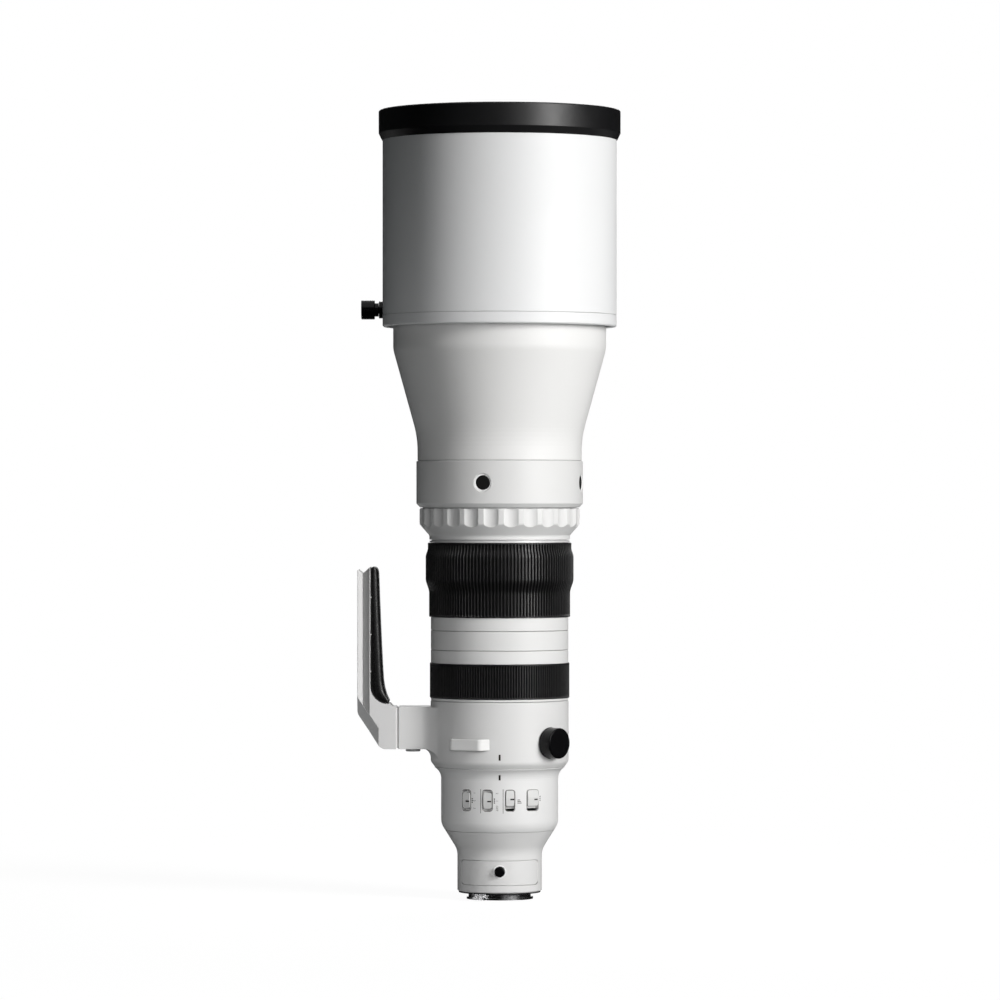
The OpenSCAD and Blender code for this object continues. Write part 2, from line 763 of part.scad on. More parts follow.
module trim_ring() {
    step = 0.6;
    z_top = z_trim + trim_len;
    color([0.9, 0.9, 0.9]) revolve([[fixed_bore, z_trim], [trim_r, z_trim], [trim_r, z_top - step],
        [trim_r - 1.4, z_top - step], [trim_r - 1.4, z_top], [fixed_bore, z_top]]);
}

module button_band() {
    floor_t = 3;
    recess_floor = button_face_r - button_travel + 0.2;
    z_top = z_buttons + button_band_len;
    step_r = flute_ring_r - 0.3;
    color("white") difference() {
        revolve([
            [fixed_bore, z_buttons], [step_r - 2, z_buttons], [step_r - 2, z_buttons + 0.5],
            [step_r, z_buttons + 0.5], [button_band_r, z_buttons + 3.6, 0.6], [button_band_r, z_top, 0.8],
            [neck_r - 1.9, z_top],
            [neck_r - 1.9, z_buttons + floor_t + 2], [neck_r - 3.9, z_buttons + floor_t],
            [fixed_bore, z_buttons + floor_t]
        ]);
        for (i = [0:3]) radial(button_start + 90 * i, z_button) {
            bore = button_r + run_gap;
            rotate_extrude($fn = 48) polygon([[0, neck_r - 8], [bore, neck_r - 8], [bore, recess_floor],
                [button_recess_r, button_band_r - 0.2], [button_recess_r + 1.4, button_band_r + 1.2],
                [0, button_band_r + 1.2]]);
        }
    }
}

module function_button(i) {
    lip = neck_r - 2.7;
    color([0.05, 0.05, 0.05]) radial(button_start + 90 * i, z_button)
        rotate_extrude($fn = 48) polygon([[0, lip - 1.5], [button_r + 1, lip - 1.5], [button_r + 1, lip],
            [button_r, lip], [button_r, button_face_r - 0.4],
            [button_r - 0.4, button_face_r], [0, button_face_r]]);
}

// Front barrel and front group

module front_barrel() {
    shelf_low = z_wide - 4;
    flare_tilt = atan((front_r - neck_r) / flare_len);
    inner_shift = front_wall / cos(flare_tilt) - front_wall;
    color("white") revolve([
        [tube_bore, z_front], [neck_r, z_front], [neck_r, z_flare, flare_bend_r], [front_r, z_wide, 20],
        [front_r, z_rim - 0.8], [front_r - 0.8, z_rim], [front_bore, z_rim],
        [front_bore, z_wide], [front_bore - 4.5, z_wide], [front_bore - 4.5, shelf_low],
        [front_bore - inner_shift - 4 * tan(flare_tilt), shelf_low],
        [neck_r - front_wall - inner_shift, z_flare], [neck_r - front_wall - inner_shift, z_front + 3],
        [tube_bore, z_front + 3]
    ]);
}

module front_cell() {
    color([0.08, 0.08, 0.08]) revolve([
        [front_glass_r - 4, z_wide], [front_bore - seat_gap, z_wide], [front_bore - seat_gap, z_rim - 6],
        [front_glass_r + seat_gap, z_rim - 6], [front_glass_r + seat_gap, z_wide + 2],
        [front_glass_r - 4, z_wide + 2]
    ]);
}

module front_glass() {
    color([0.6, 0.7, 0.8, 0.5]) {
        element(front_glass_r, z_wide + 2.05, 5, 0, 5);
        element(front_glass_r, z_rim - 16.5, 6, -3, 7);
    }
}

module front_retainer() {
    color([0.06, 0.06, 0.06]) revolve([
        [front_glass_r - 1.5, z_rim - 5.95], [front_bore - seat_gap, z_rim - 5.95],
        [front_bore - seat_gap, z_rim - 0.4], [front_bore - 1, z_rim - 0.4],
        [front_glass_r - 1.5, z_rim - 4.5]
    ]);
}

// Groups that move inside the main tube

module cam_pins(angle, z) {
    for (i = [0:2]) radial(angle + 120 * i, z) translate([0, 0, cell_r - 2])
        cylinder(r = pin_r, h = pin_tip - cell_r + 2, $fn = 32);
}

module lens_cell(r_out, r_glass, z, t) {
    revolve([[r_glass - 1.5, z], [r_out, z], [r_out, z + t], [r_glass + seat_gap, z + t],
        [r_glass + seat_gap, z + 1.5], [r_glass - 1.5, z + 1.5]]);
}

module variator_cell() {
    color([0.1, 0.1, 0.1]) {
        lens_cell(cell_r, cell_r - 5, z_vario, vario_t);
        cam_pins(0, z_vario_pin);
    }
}

module variator_glass() {
    color([0.6, 0.7, 0.8, 0.5]) {
        element(cell_r - 5, z_vario + 1.55, 4, 0, 3);
        element(cell_r - 5, z_vario + second_glass_up, 5, -2.5, -2);
    }
}

module compensator_cell() {
    color([0.1, 0.1, 0.1]) {
        lens_cell(cell_r, cell_r - 5, z_comp, comp_t + 4);
        cam_pins(60, z_comp_pin);
    }
}

module compensator_glass() {
    color([0.6, 0.7, 0.8, 0.5]) element(cell_r - 5, z_comp + 1.55, 6, 0, 3);
}

module focus_motor() {
    color([0.35, 0.35, 0.38]) {
        difference() {
            ring(tube_bore - 8, fixed_r, z_motor, z_motor + motor_t);
            ring(tube_bore - 6.5, tube_bore - 1.5, z_motor + 1, z_motor + motor_t - 1.2);
        }
        for (i = [0:2]) rotate(120 * i + 90) translate([rod_circle, 0, z_motor + motor_t - 0.2])
            cylinder(r = rod_r, h = z_iris - z_motor - motor_t + 0.2 - seat_gap, $fn = 32);
    }
}

module focus_cell() {
    color([0.1, 0.1, 0.1]) difference() {
        union() {
            lens_cell(cell_r - 6, cell_r - 9, z_focus_cell, focus_cell_t);
            ring(cell_r - 7, cell_r, z_focus_cell + 4, z_focus_cell + 8);
        }
        for (i = [0:2]) rotate(120 * i + 90) translate([rod_circle, 0, z_focus_cell])
            cylinder(r = rod_r + 0.08, h = focus_cell_t, $fn = 32);
    }
}

module focus_glass() {
    color([0.6, 0.7, 0.8, 0.5]) element(cell_r - 9, z_focus_cell + 1.55, 5, 0, 2.5);
}

module iris_unit() {
    color([0.07, 0.07, 0.07]) {
        difference() {
            ring(iris_open_r, fixed_r, z_iris, z_iris + iris_t);
            ring(iris_open_r - 1, fixed_r - 3, z_iris + 2, z_iris + iris_t - 2);
        }
        // Blades fanned round the opening, each a thin crescent on its own step
        for (i = [0:blade_count - 1]) rotate(i * 360 / blade_count)
            translate([0, 0, z_iris + 2.1 + i * (iris_t - 4.3) / blade_count])
                intersection() {
                    translate([iris_open_r + 5.5, 0, 0]) cylinder(r = 5, h = 0.2, $fn = 32);
                    ring(iris_open_r - 2, fixed_r - 3.1, 0, 0.2);
                }
    }
}

module stabiliser_frame() {
    color([0.12, 0.12, 0.12]) revolve([[shift_glass_r, z_shift], [fixed_r, z_shift], [fixed_r, z_shift + 16],
        [fixed_r - 2.5, z_shift + 16], [fixed_r - 2.5, z_shift + 2.5], [shift_glass_r, z_shift + 2.5]]);
}

module stabiliser_cell() {
    color([0.15, 0.15, 0.17]) lens_cell(fixed_r - 2.5 - shift_travel - run_gap,
        shift_glass_r, z_shift + 2.8, shift_cell_t);
}

module stabiliser_glass() {
    color([0.6, 0.7, 0.8, 0.5]) element(shift_glass_r, z_shift + 4.35, 4, 0, 2);
}

// Zoom ring

// Outline of the zoom rubber, moved in by a depth, from its white band upwards
function grip_line(depth, trim) = let (
        ramp = (zoom_rubber_len - grip_low_len - grip_high_len) * 0.35,
        step = (zoom_rubber_len - grip_low_len - grip_high_len) * 0.15)
    [[grip_low_r - depth, trim], [grip_low_r - depth, grip_low_len],
     [grip_high_r - depth, grip_low_len + ramp], [grip_high_r - depth, grip_low_len + ramp + grip_high_len],
     [grip_end_r - depth, grip_low_len + ramp + grip_high_len + step],
     [grip_end_r - depth, zoom_rubber_len - trim]];

module zoom_sleeve() {
    lip = 2;
    z_top = z_zoom + zoom_len;
    color("white") rotate_extrude() polygon([
        [ring_bore, z_zoom], [band_r - 0.3, z_zoom], [band_r, z_zoom + 0.3], [band_r, z_zoom + zoom_band],
        [rubber_seat_r, z_zoom + zoom_band], [rubber_seat_r, z_top], [cam_r + seat_gap, z_top],
        [cam_r + seat_gap, z_zoom + lip], [ring_bore, z_zoom + lip]
    ]);
}

module zoom_rubber() {
    reach = grip_high_r + 4;
    groove_arc = 0.46 * 360 / zoom_ribs;
    color([0.06, 0.06, 0.06]) translate([0, 0, z_zoom + zoom_band]) difference() {
        rotate_extrude() polygon(concat(grip_line(0, 0),
            [[rubber_seat_r + seat_gap, zoom_rubber_len], [rubber_seat_r + seat_gap, 0]]));
        for (i = [0:zoom_ribs - 1]) rotate(i * 360 / zoom_ribs) rotate_extrude(angle = groove_arc)
            polygon(concat(grip_line(groove_depth, rubber_rim),
                [[reach, zoom_rubber_len - rubber_rim], [reach, rubber_rim]]));
    }
}

// Cam grooves follow the pins: a pin climbs with the turn of the sleeve
module cam_groove(angle, z_pin, travel) {
    steps = 20;
    for (i = [0:2], k = [0:steps])
        radial(angle + 120 * i - zoom_turn * k / steps, z_pin + travel * k / steps)
            translate([0, 0, cam_bore - 2]) cylinder(r = cam_groove_r, h = cam_wall + 4, $fn = 24);
}

module cam_sleeve() {
    color("goldenrod") difference() {
        ring(cam_bore, cam_r, z_zoom + 2 + seat_gap, z_zoom + zoom_len - 0.5);
        cam_groove(0, z_vario_pin, variator_travel);
        cam_groove(60, z_comp_pin, compensator_travel);
    }
}

// Focus ring

module focus_sleeve() {
    z_low = z_focus + focus_lip;
    z_high = z_low + focus_rubber_len;
    z_top = z_focus + focus_len;
    relief = 4;
    color("white") rotate_extrude() polygon([
        [ring_bore, z_focus], [band_r - 0.3, z_focus], [band_r, z_focus + 0.3], [band_r, z_low],
        [rubber_seat_r, z_low], [rubber_seat_r, z_high], [band_r, z_high], [band_r, z_top - 0.3],
        [band_r - 0.3, z_top], [ring_bore, z_top], [ring_bore, z_top - relief],
        [ring_bore + 1.6, z_top - relief], [ring_bore + 1.6, z_focus + relief], [ring_bore, z_focus + relief]
    ]);
}

module focus_rubber() {
    pitch = 360 / focus_ribs;
    root_r = focus_rubber_r - 0.8;
    color([0.06, 0.06, 0.06]) translate([0, 0, z_focus + focus_lip + seat_gap]) difference() {
        linear_extrude(focus_rubber_len - 2 * seat_gap) polygon([
            for (i = [0:focus_ribs - 1], k = [0:3])
                let (a = pitch * (i + [0, 0.1, 0.5, 0.6][k]),
                     r = [root_r, focus_rubber_r, focus_rubber_r, root_r][k]) [r * cos(a), r * sin(a)]
        ]);
        translate([0, 0, -1]) cylinder(r = rubber_seat_r + seat_gap, h = focus_rubber_len + 2, $fn = 240);
    }
}

// Function ring: a hollow ring with scooped flutes that run out on its cone
module function_ring() {
    z_top = z_func + func_len;
    z_full = z_top - flute_len;
    half = flute_ring_r * sin(flute_arc / 2);
    scoop_r = (half * half + flute_depth * flute_depth) / (2 * flute_depth);
    color("white") difference() {
        revolve([
            [ring_bore, z_func], [trim_r + 0.2, z_func], [trim_r + 0.2, z_func + 3.2, 3],
            [flute_ring_r, z_full, 3], [flute_ring_r, z_top, 1],
            [flute_ring_r - 4, z_top], [flute_ring_r - 4, z_full + 1], [ring_bore + 2.5, z_func + 7],
            [ring_bore + 2.5, z_top], [ring_bore, z_top]
        ]);
        for (i = [0:flute_count - 1]) rotate(flute_start + i * 360 / flute_count)
            translate([0, -(flute_ring_r - flute_depth + scoop_r), z_func])
                cylinder(r = scoop_r, h = func_len + 2, $fn = 48);
    }
}

// Tripod collar and foot

// The arm seen along the lens, with wide fillets into the collar
module arm_plan() {
    reach = collar_r + arm_fillet;
    fillet_y = foot_w / 2 + arm_fillet;
    fillet_x = sqrt(reach * reach - fillet_y * fillet_y);
    translate([-seam_x, -foot_w / 2]) square([seam_x - collar_r + 12, foot_w]);
    for (s = [-1, 1]) difference() {
        polygon([[-fillet_x, 0], [-fillet_x, s * fillet_y * 0.9],
            [-fillet_x * collar_r / reach, s * fillet_y * collar_r / reach], [-collar_r * 0.8, 0]]);
        translate([-fillet_x, s * fillet_y]) circle(r = arm_fillet);
    }
}

// Cut that chamfers the four edges of the arm and the foot at their seam
module seam_chamfers() {
    for (s = [-1, 1]) translate([-seam_x, s * foot_w / 2, z_arm + arm_h / 2]) rotate(45)
        cube([seam_cube, seam_cube, arm_h + 8], center = true);
    for (z = [z_arm, z_arm_top]) translate([-seam_x, 0, z]) rotate([0, 45, 0])
        cube([seam_cube, foot_w + 2, seam_cube], center = true);
}

module tripod_collar() {
    z_top = z_collar + collar_len;
    color("white") difference() {
        union() {
            revolve([[ring_bore, z_collar], [shoulder_r, z_collar], [shoulder_r + 0.3, z_collar + 0.3],
                [collar_r, z_collar + 3.8, 5], [collar_r, z_top - 0.6], [collar_r - 0.6, z_top],
                [ring_bore, z_top]]);
            difference() {
                translate([0, 0, z_arm]) linear_extrude(arm_h) arm_plan();
                translate([0, 0, z_arm - 1]) cylinder(r = collar_r - 2, h = arm_h + 2);
            }
            // Fillet under the arm
            intersection() {
                rotate_extrude() difference() {
                    translate([collar_r - 2, z_arm - under_fillet])
                        square([under_fillet + 2, under_fillet + 1]);
                    translate([collar_r + under_fillet, z_arm - under_fillet]) circle(r = under_fillet);
                }
                translate([0, 0, z_arm - under_fillet - 1]) linear_extrude(under_fillet + 1.5) arm_plan();
            }
        }
        seam_chamfers();
        // Bolt holes, button pocket and the bearing of the lock knob
        foot_bolt_at(seat_gap);
        translate([-stop_x, 0, z_arm - 1])
            cylinder(r = stop_button_r + run_gap, h = 6 + stop_travel, $fn = 48);
        radial(collar_knob_angle, z_collar_knob) {
            translate([0, 0, tube_r - 2]) cylinder(r = stem_r + bearing_gap, h = 12, $fn = 32);
            translate([0, 0, collar_r - knob_seat]) cylinder(r = collar_knob_r + 0.4, h = 12, $fn = 64);
        }
    }
}

module stop_button() {
    color([0.75, 0.75, 0.75]) translate([-stop_x, 0, z_arm - 2.5]) union() {
        cylinder(r1 = stop_button_r - 0.6, r2 = stop_button_r, h = 0.6, $fn = 48);
        translate([0, 0, 0.6]) cylinder(r = stop_button_r, h = 5.5, $fn = 48);
    }
}

module foot_bolt_at(grow) {
    for (y = bolt_cols, up = bolt_rows) translate([-seam_x - 12, y, z_arm + up]) rotate([0, 90, 0]) {
        cylinder(r = bolt_head_r + grow, h = 5, $fn = 32);
        cylinder(r = bolt_shank_r + grow, h = 22 + grow, $fn = 32);
    }
}

module foot_bolts() {
    color("silver") difference() {
        foot_bolt_at(0);
        for (y = bolt_cols, up = bolt_rows) translate([-seam_x - 12.5, y, z_arm + up]) rotate([0, 90, 0])
            cylinder(r = 2.3, h = 3, $fn = 6);
    }
}

// The slanted face of the foot as a frame: +X points into the foot, +Z up along the slant
module on_slant() {
    translate([-foot_x, 0, z_arm + slant_h]) rotate([0, -slant_tilt, 0]) children();
}

module tripod_foot() {
    groove_x = foot_x - dovetail_depth;
    inner_low = pad_low - 0.1;
    color("white") difference() {
        rotate([90, 0, 0]) linear_extrude(foot_w, center = true) polygon(rounded([
            [-seam_x - seat_gap, z_arm], [-slant_x, z_arm, foot_round], [-foot_x, z_arm + slant_h, 8],
            [-foot_x, z_foot_top - 0.4], [-foot_x + 0.8, z_foot_top], [-groove_x, z_foot_top - 2.9],
            [-pad_x - 0.4, z_foot_top + 2], [-pad_x, z_foot_top + 2], [-pad_x, inner_low, pad_bend],
            [-seam_x - 6, inner_low, 0.4], [-seam_x - 3.8, z_arm_top, 1.6],
            [-seam_x - seat_gap, z_arm_top]
        ]));
        // V grooves along both sides, down to the chamfer of the slanted face
        for (s = [-1, 1]) intersection() {
            translate([0, 0, z_arm]) linear_extrude(foot_len + 10) polygon([
                [-foot_x + 0.8, s * foot_w / 2], [-groove_x, s * (foot_w / 2 - dovetail_depth)],
                [-pad_x - 0.6, s * foot_w / 2], [-pad_x - 0.6, s * foot_w], [-foot_x + 0.8, s * foot_w]]);
            on_slant() translate([foot_chamfer - 0.3, -50, -100]) cube([100, 100, 400]);
        }
        // Chamfers along the slanted face, which run out towards its rear end
        for (s = [-1, 1]) intersection() {
            translate([0, s * foot_w / 2, 0]) on_slant() rotate(45)
                cube([foot_chamfer * sqrt(2), foot_chamfer * sqrt(2), 100], center = true);
            translate([-seam_x - chamfer_end - 30, s * (foot_w / 2 + 0.3), z_arm + slant_h / 2]) rotate(45)
                cube([30 * sqrt(2), 30 * sqrt(2), 100], center = true);
        }
        seam_chamfers();
        foot_bolt_at(seat_gap);
        for (y = bolt_cols, up = bolt_rows) translate([-seam_x - 40, y, z_arm + up]) rotate([0, 90, 0])
            cylinder(r = bolt_head_r + seat_gap, h = 29, $fn = 32);
        // Tripod threads
        translate([-foot_x - 1, 0, z_thread_large]) rotate([0, 90, 0])
            cylinder(r = thread_large_r, h = thread_depth + 1, $fn = 48);
        translate([-foot_x - 1, 0, z_thread_small]) rotate([0, 90, 0])
            cylinder(r = thread_small_r, h = thread_depth + 1, $fn = 48);
    }
}

module foot_pad() {
    thin = 5.3;
    thick = 9.3;
    color([0.06, 0.06, 0.06]) minkowski() {
        rotate([90, 0, 0]) linear_extrude(pad_w - 2 * pad_round, center = true)
            offset(delta = -pad_round) polygon(rounded([
                [-pad_x + seat_gap, pad_top, 1], [-pad_x + thin, pad_top, 5],
                [-pad_x + thin + 2.4, pad_low + 50, 60], [-pad_x + thick, pad_low + 14.5, 16],
                [-seam_x - 5.6, pad_low], [-pad_x + seat_gap, pad_low, pad_bend]
            ], 4));
        sphere(r = pad_round, $fn = 16);
    }
}

// Strap loops: a flat bar with two slanted legs that land on the collar
module strap_loops() {
    land = 19.35;
    x = collar_r * sin(land);
    y = collar_r * cos(land) - 1;
    inner = loop_len / 2 - loop_t * 0.75;
    color("white") for (a = [-loop_angle, loop_angle - 180]) rotate(a)
        translate([0, 0, z_arm + 0.4]) linear_extrude(loop_h) difference() {
            polygon(rounded([[-loop_len / 2, -loop_x, loop_round], [loop_len / 2, -loop_x, loop_round],
                [x + 0.4, -y], [-x - 0.4, -y]]));
            polygon([[-inner, -loop_x + loop_t], [inner, -loop_x + loop_t],
                [x - loop_t * 1.3, -y + 2], [-x + loop_t * 1.3, -y + 2]]);
            circle(r = collar_r + seat_gap);
        }
}

module collar_knob() {
    base = collar_r - knob_seat + run_gap;
    color([0.05, 0.05, 0.05]) radial(collar_knob_angle, z_collar_knob) rotate_extrude($fn = 64) polygon([
        [0, tube_r + 0.5], [stem_r, tube_r + 0.5], [stem_r, base], [collar_knob_r - 0.5, base],
        [collar_knob_r, base + 0.5], [collar_knob_r, base + collar_knob_h - 0.7],
        [collar_knob_r - 0.7, base + collar_knob_h], [0, base + collar_knob_h]
    ]);
}

// Hood

module hood_base() {
    spigot_top = z_base_top + 12;
    color("white") difference() {
        revolve([
            [hood_r - 2.8, z_hood + 0.6], [hood_r - 2.2, z_hood], [hood_r - 1, z_hood], [hood_r, z_hood + 1],
            [hood_r, z_base_top], [hood_in - seat_gap, z_base_top], [hood_in - seat_gap, spigot_top],
            [sleeve_in + 2.6, spigot_top], [sleeve_in + 2.6, z_lip + 2.6], [front_r - 2.6, z_lip + 2.6],
            [front_r - 2.6, z_lip], [sleeve_in, z_lip], [sleeve_in, z_hood + 6], [hood_r - 2.8, z_hood + 6]
        ]);
        translate([-hood_r, 0, z_hood_knob]) rotate([0, 90, 0])
            cylinder(r = stem_r + bearing_gap, h = 14, $fn = 32);
        // Seat of the bush, where it reaches down over the base ring
        difference() {
            translate([-hood_r - 2, 0, z_hood_knob]) rotate([0, 90, 0])
                cylinder(r = bush_r + seat_gap, h = 6, $fn = 48);
            cylinder(r = hood_in, h = 2 * z_hood_top);
        }
    }
}

module hood_tube() {
    color("white") difference() {
        rotate_extrude() polygon([[hood_in, z_base_top + seat_gap],
            [hood_r - seam_deep, z_base_top + seat_gap], [hood_r - seam_deep, z_base_top + seam_w],
            [hood_r, z_base_top + seam_w],
            [hood_r, z_hood_top - 6], [hood_in, z_hood_top - 6]]);
        translate([-hood_r - 2, 0, z_hood_knob]) rotate([0, 90, 0])
            cylinder(r = bush_r + seat_gap, h = 6, $fn = 48);
    }
}

module hood_bush() {
    color([0.05, 0.05, 0.05]) difference() {
        translate([-bush_face, 0, z_hood_knob]) rotate([0, 90, 0]) cylinder(r = bush_r, h = bush_t, $fn = 48);
        translate([-bush_face - 1, 0, z_hood_knob]) rotate([0, 90, 0])
            cylinder(r = stem_r + bearing_gap, h = 8, $fn = 32);
        cylinder(r = hood_in + seat_gap, h = 2 * z_hood_top, $fn = 96);
    }
}

module hood_bumper() {
    z_low = z_hood_top - bumper_h;
    color([0.05, 0.05, 0.05]) revolve([
        [hood_r + seat_gap, z_low], [hood_r + 0.4, z_low], [bumper_r, z_low + 5.5, 1],
        [bumper_r, z_hood_top, 1.5], [hood_in - 1.4, z_hood_top, 1], [hood_in - 1.4, z_hood_top - 5.95],
        [hood_r + seat_gap, z_hood_top - 5.95]
    ]);
}

module hood_lining() {
    color([0.03, 0.03, 0.03]) ring(hood_in - 1.2, hood_in - seat_gap, z_base_top + 12.1, z_hood_top - 6);
}

module hood_knob() {
    neck_out = bush_face + 3.3;
    color([0.05, 0.05, 0.05]) translate([0, 0, z_hood_knob]) rotate([0, -90, 0]) rotate_extrude($fn = 48)
        polygon([[0, front_r + 0.6], [stem_r, front_r + 0.6], [stem_r, bush_face + 0.3],
            [5.4, bush_face + 0.3],
            [5.4, neck_out], [hood_knob_r - 0.4, neck_out], [hood_knob_r, neck_out + 0.4],
            [hood_knob_r, neck_out + hood_knob_len - 0.6], [hood_knob_r - 0.6, neck_out + hood_knob_len],
            [0, neck_out + hood_knob_len]]);
}

bayonet_mount();
mount_seal();
mount_screws();
contact_block();
contact_pins();
rear_baffle();
rear_barrel();
switch_housing();
circuit_board();
main_tube();
centre_band();
trim_ring();
button_band();
front_barrel();
front_cell();
front_glass();
front_retainer();
rear_cell();
rear_glass();
iris_unit();
focus_motor();
stabiliser_frame();
stabiliser_cell();
stabiliser_glass();
zoom_sleeve();
zoom_rubber();
cam_sleeve();
variator_cell();
variator_glass();
compensator_cell();
compensator_glass();
focus_sleeve();
focus_rubber();
focus_cell();
focus_glass();
function_ring();
tripod_collar();
tripod_foot();
foot_pad();
foot_bolts();
strap_loops();
collar_knob();
stop_button();
slider(0, 0);  // custom_slider
slider(1, 0);  // stabiliser_slider
slider(2, slider_travel);  // limiter_slider
slider(3, slider_travel);  // focus_slider
function_button(0);  // button_1
function_button(1);  // button_2
function_button(2);  // button_3
function_button(3);  // button_4
filter_holder();
filter_glass();
filter_knob();
hood_base();
hood_tube();
hood_bumper();
hood_lining();
hood_bush();
hood_knob();
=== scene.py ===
import json
import math
import bmesh
import bpy
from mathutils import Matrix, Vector


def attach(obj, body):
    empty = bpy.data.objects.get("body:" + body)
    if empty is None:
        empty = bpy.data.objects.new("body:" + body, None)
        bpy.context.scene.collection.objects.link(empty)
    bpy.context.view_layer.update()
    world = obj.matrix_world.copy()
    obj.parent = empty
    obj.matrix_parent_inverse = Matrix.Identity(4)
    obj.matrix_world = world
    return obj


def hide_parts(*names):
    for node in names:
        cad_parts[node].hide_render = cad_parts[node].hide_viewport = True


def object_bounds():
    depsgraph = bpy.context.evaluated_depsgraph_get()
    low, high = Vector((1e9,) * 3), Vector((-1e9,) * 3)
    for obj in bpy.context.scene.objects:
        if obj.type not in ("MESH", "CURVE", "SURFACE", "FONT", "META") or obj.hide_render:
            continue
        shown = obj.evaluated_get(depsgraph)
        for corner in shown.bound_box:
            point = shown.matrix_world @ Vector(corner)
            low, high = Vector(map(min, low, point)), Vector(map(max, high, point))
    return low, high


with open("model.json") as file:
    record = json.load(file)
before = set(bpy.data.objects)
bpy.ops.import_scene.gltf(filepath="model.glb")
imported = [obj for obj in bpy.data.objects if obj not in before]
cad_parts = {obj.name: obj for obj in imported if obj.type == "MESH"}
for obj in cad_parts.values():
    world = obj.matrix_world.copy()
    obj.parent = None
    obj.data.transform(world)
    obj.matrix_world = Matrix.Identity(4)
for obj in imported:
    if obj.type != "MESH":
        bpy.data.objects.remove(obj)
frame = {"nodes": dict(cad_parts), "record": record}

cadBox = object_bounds()
nodes = frame["nodes"]
print("frame loaded:", len(nodes), "nodes")


# Camera, level with the middle of the lens and far off, as in the photograph

camera = {"lens": 185.4, "sensor": 36, "distance": 4.04, "height": 0.3073, "side": 0.0003, "reach": 100}


def makeCamera(c):
    bpy.ops.object.camera_add(location=(c["side"], -c["distance"], c["height"]), rotation=(math.pi / 2, 0, 0))
    cam = bpy.context.object
    cam.data.lens = c["lens"]
    cam.data.sensor_width = c["sensor"]
    cam.data.clip_end = c["reach"]
    bpy.context.scene.camera = cam


makeCamera(camera)
print("camera set")


# Helpers for nodes, where a value may be a socket, a number or a tuple

def feed(tree, value, socket):
    if isinstance(value, bpy.types.NodeSocket):
        tree.links.new(value, socket)
    else:
        socket.default_value = value


def feedInOrder(tree, values, sockets):
    for value, socket in zip(values, sockets):
        feed(tree, value, socket)


def setInputs(tree, node, values):
    for label, value in values.items():
        feed(tree, value, node.inputs[label])
    return node


def addNode(tree, kind, values):
    return setInputs(tree, tree.nodes.new("ShaderNode" + kind), values)


def mathIn(tree, operation, *values):
    node = tree.nodes.new("ShaderNodeMath")
    node.operation = operation
    feedInOrder(tree, values, node.inputs)
    return node.outputs[0]


def vectorIn(tree, operation, *values):
    node = tree.nodes.new("ShaderNodeVectorMath")
    node.operation = operation
    feedInOrder(tree, values, node.inputs)
    return node.outputs["Value" if operation == "LENGTH" else "Vector"]


def rangeIn(tree, value, low, high, toLow, toHigh, kind="LINEAR"):
    node = addNode(tree, "MapRange", {"Value": value, "From Min": low, "From Max": high, "To Min": toLow,
                                      "To Max": toHigh})
    node.interpolation_type = kind
    return node.outputs["Result"]


def noiseIn(tree, coords, scale, detail, roughness=0.5):
    noise = addNode(tree, "TexNoise", {"Vector": coords, "Scale": scale, "Detail": detail,
                                       "Roughness": roughness})
    return noise.outputs["Fac"]


def placeIn(tree):        # a point's own place on the piece
    return tree.nodes.new("ShaderNodeTexCoord").outputs["Object"]


def blendColours(tree, mask, first, second):
    mix = tree.nodes.new("ShaderNodeMix")
    mix.data_type = "RGBA"
    setInputs(tree, mix, {"A": (*first, 1), "B": (*second, 1)})
    tree.links.new(mask, mix.inputs["Factor"])
    return mix.outputs["Result"]


def blendShaders(tree, mask, first, second):
    mix = tree.nodes.new("ShaderNodeMixShader")
    feedInOrder(tree, (mask, first, second), mix.inputs)
    return mix.outputs[0]


def seenRays(tree):        # 1 for camera, glossy and transmission rays, which see the white background
    path = tree.nodes.new("ShaderNodeLightPath").outputs
    return mathIn(tree, "MAXIMUM", mathIn(tree, "MAXIMUM", path["Is Camera Ray"], path["Is Glossy Ray"]),
                  path["Is Transmission Ray"])


# Studio: a tall soft key from the right, weak fills, a back light, and three narrow strips that light the mount

mountStrip = {"aim": (0, 0, -0.002), "size": (0.8, 0.1), "power": 0.034, "spread": 17, "matt": False}
lamps = {        # tint, spread in degrees, matt and gleam are given where they aren't white, 180 and True
    "key": {"at": (1.77, -1.46, 1.1), "aim": (0, 0, 0.6), "size": (0.8, 1.4), "power": 11.7, "spread": 70,
            "tint": (1, 0.995, 0.985)},
    "front": {"at": (-0.1, -1.6, 0.4), "aim": (0, 0, 0.05), "size": (0.7, 0.5), "power": 0.75, "spread": 50,
              "gleam": False},
    "under": {"at": (1.1, -1.3, 0.03), "aim": (0, 0, 0.36), "size": (0.8, 0.2), "power": 2.2, "gleam": False},
    "left": {"at": (-1.2, 0.7, 1.3), "aim": (0, 0, 0.3), "size": (1.0, 1.0), "power": 0.3,
             "tint": (0.85, 0.96, 1)},
    "back": {"at": (0.1, 1.8, 1.4), "aim": (0, 0, 0.3), "size": (1.2, 1.0), "power": 15},
    "strip": {"at": (-1.15, -0.27, 0.03), **mountStrip},
    "stripNear": {"at": (-0.98, -0.66, 0.03), **mountStrip},
    "stripFar": {"at": (-1.17, 0.16, 0.03), **mountStrip},
}
studio = {"floorSize": 30, "floorGap": 0.0002, "ambient": 0.01, "ambientTint": (0.85, 0.97, 1, 1),
          "shadeNear": 0.3, "shadeFar": 0.9, "shadow": 0.06, "mattGain": 0.12,
          "nearFloor": (0.5, 0.508, 0.51), "farFloor": (0.163, 0.18, 0.19), "card": (0.01, 0.01, 0.01, 1)}
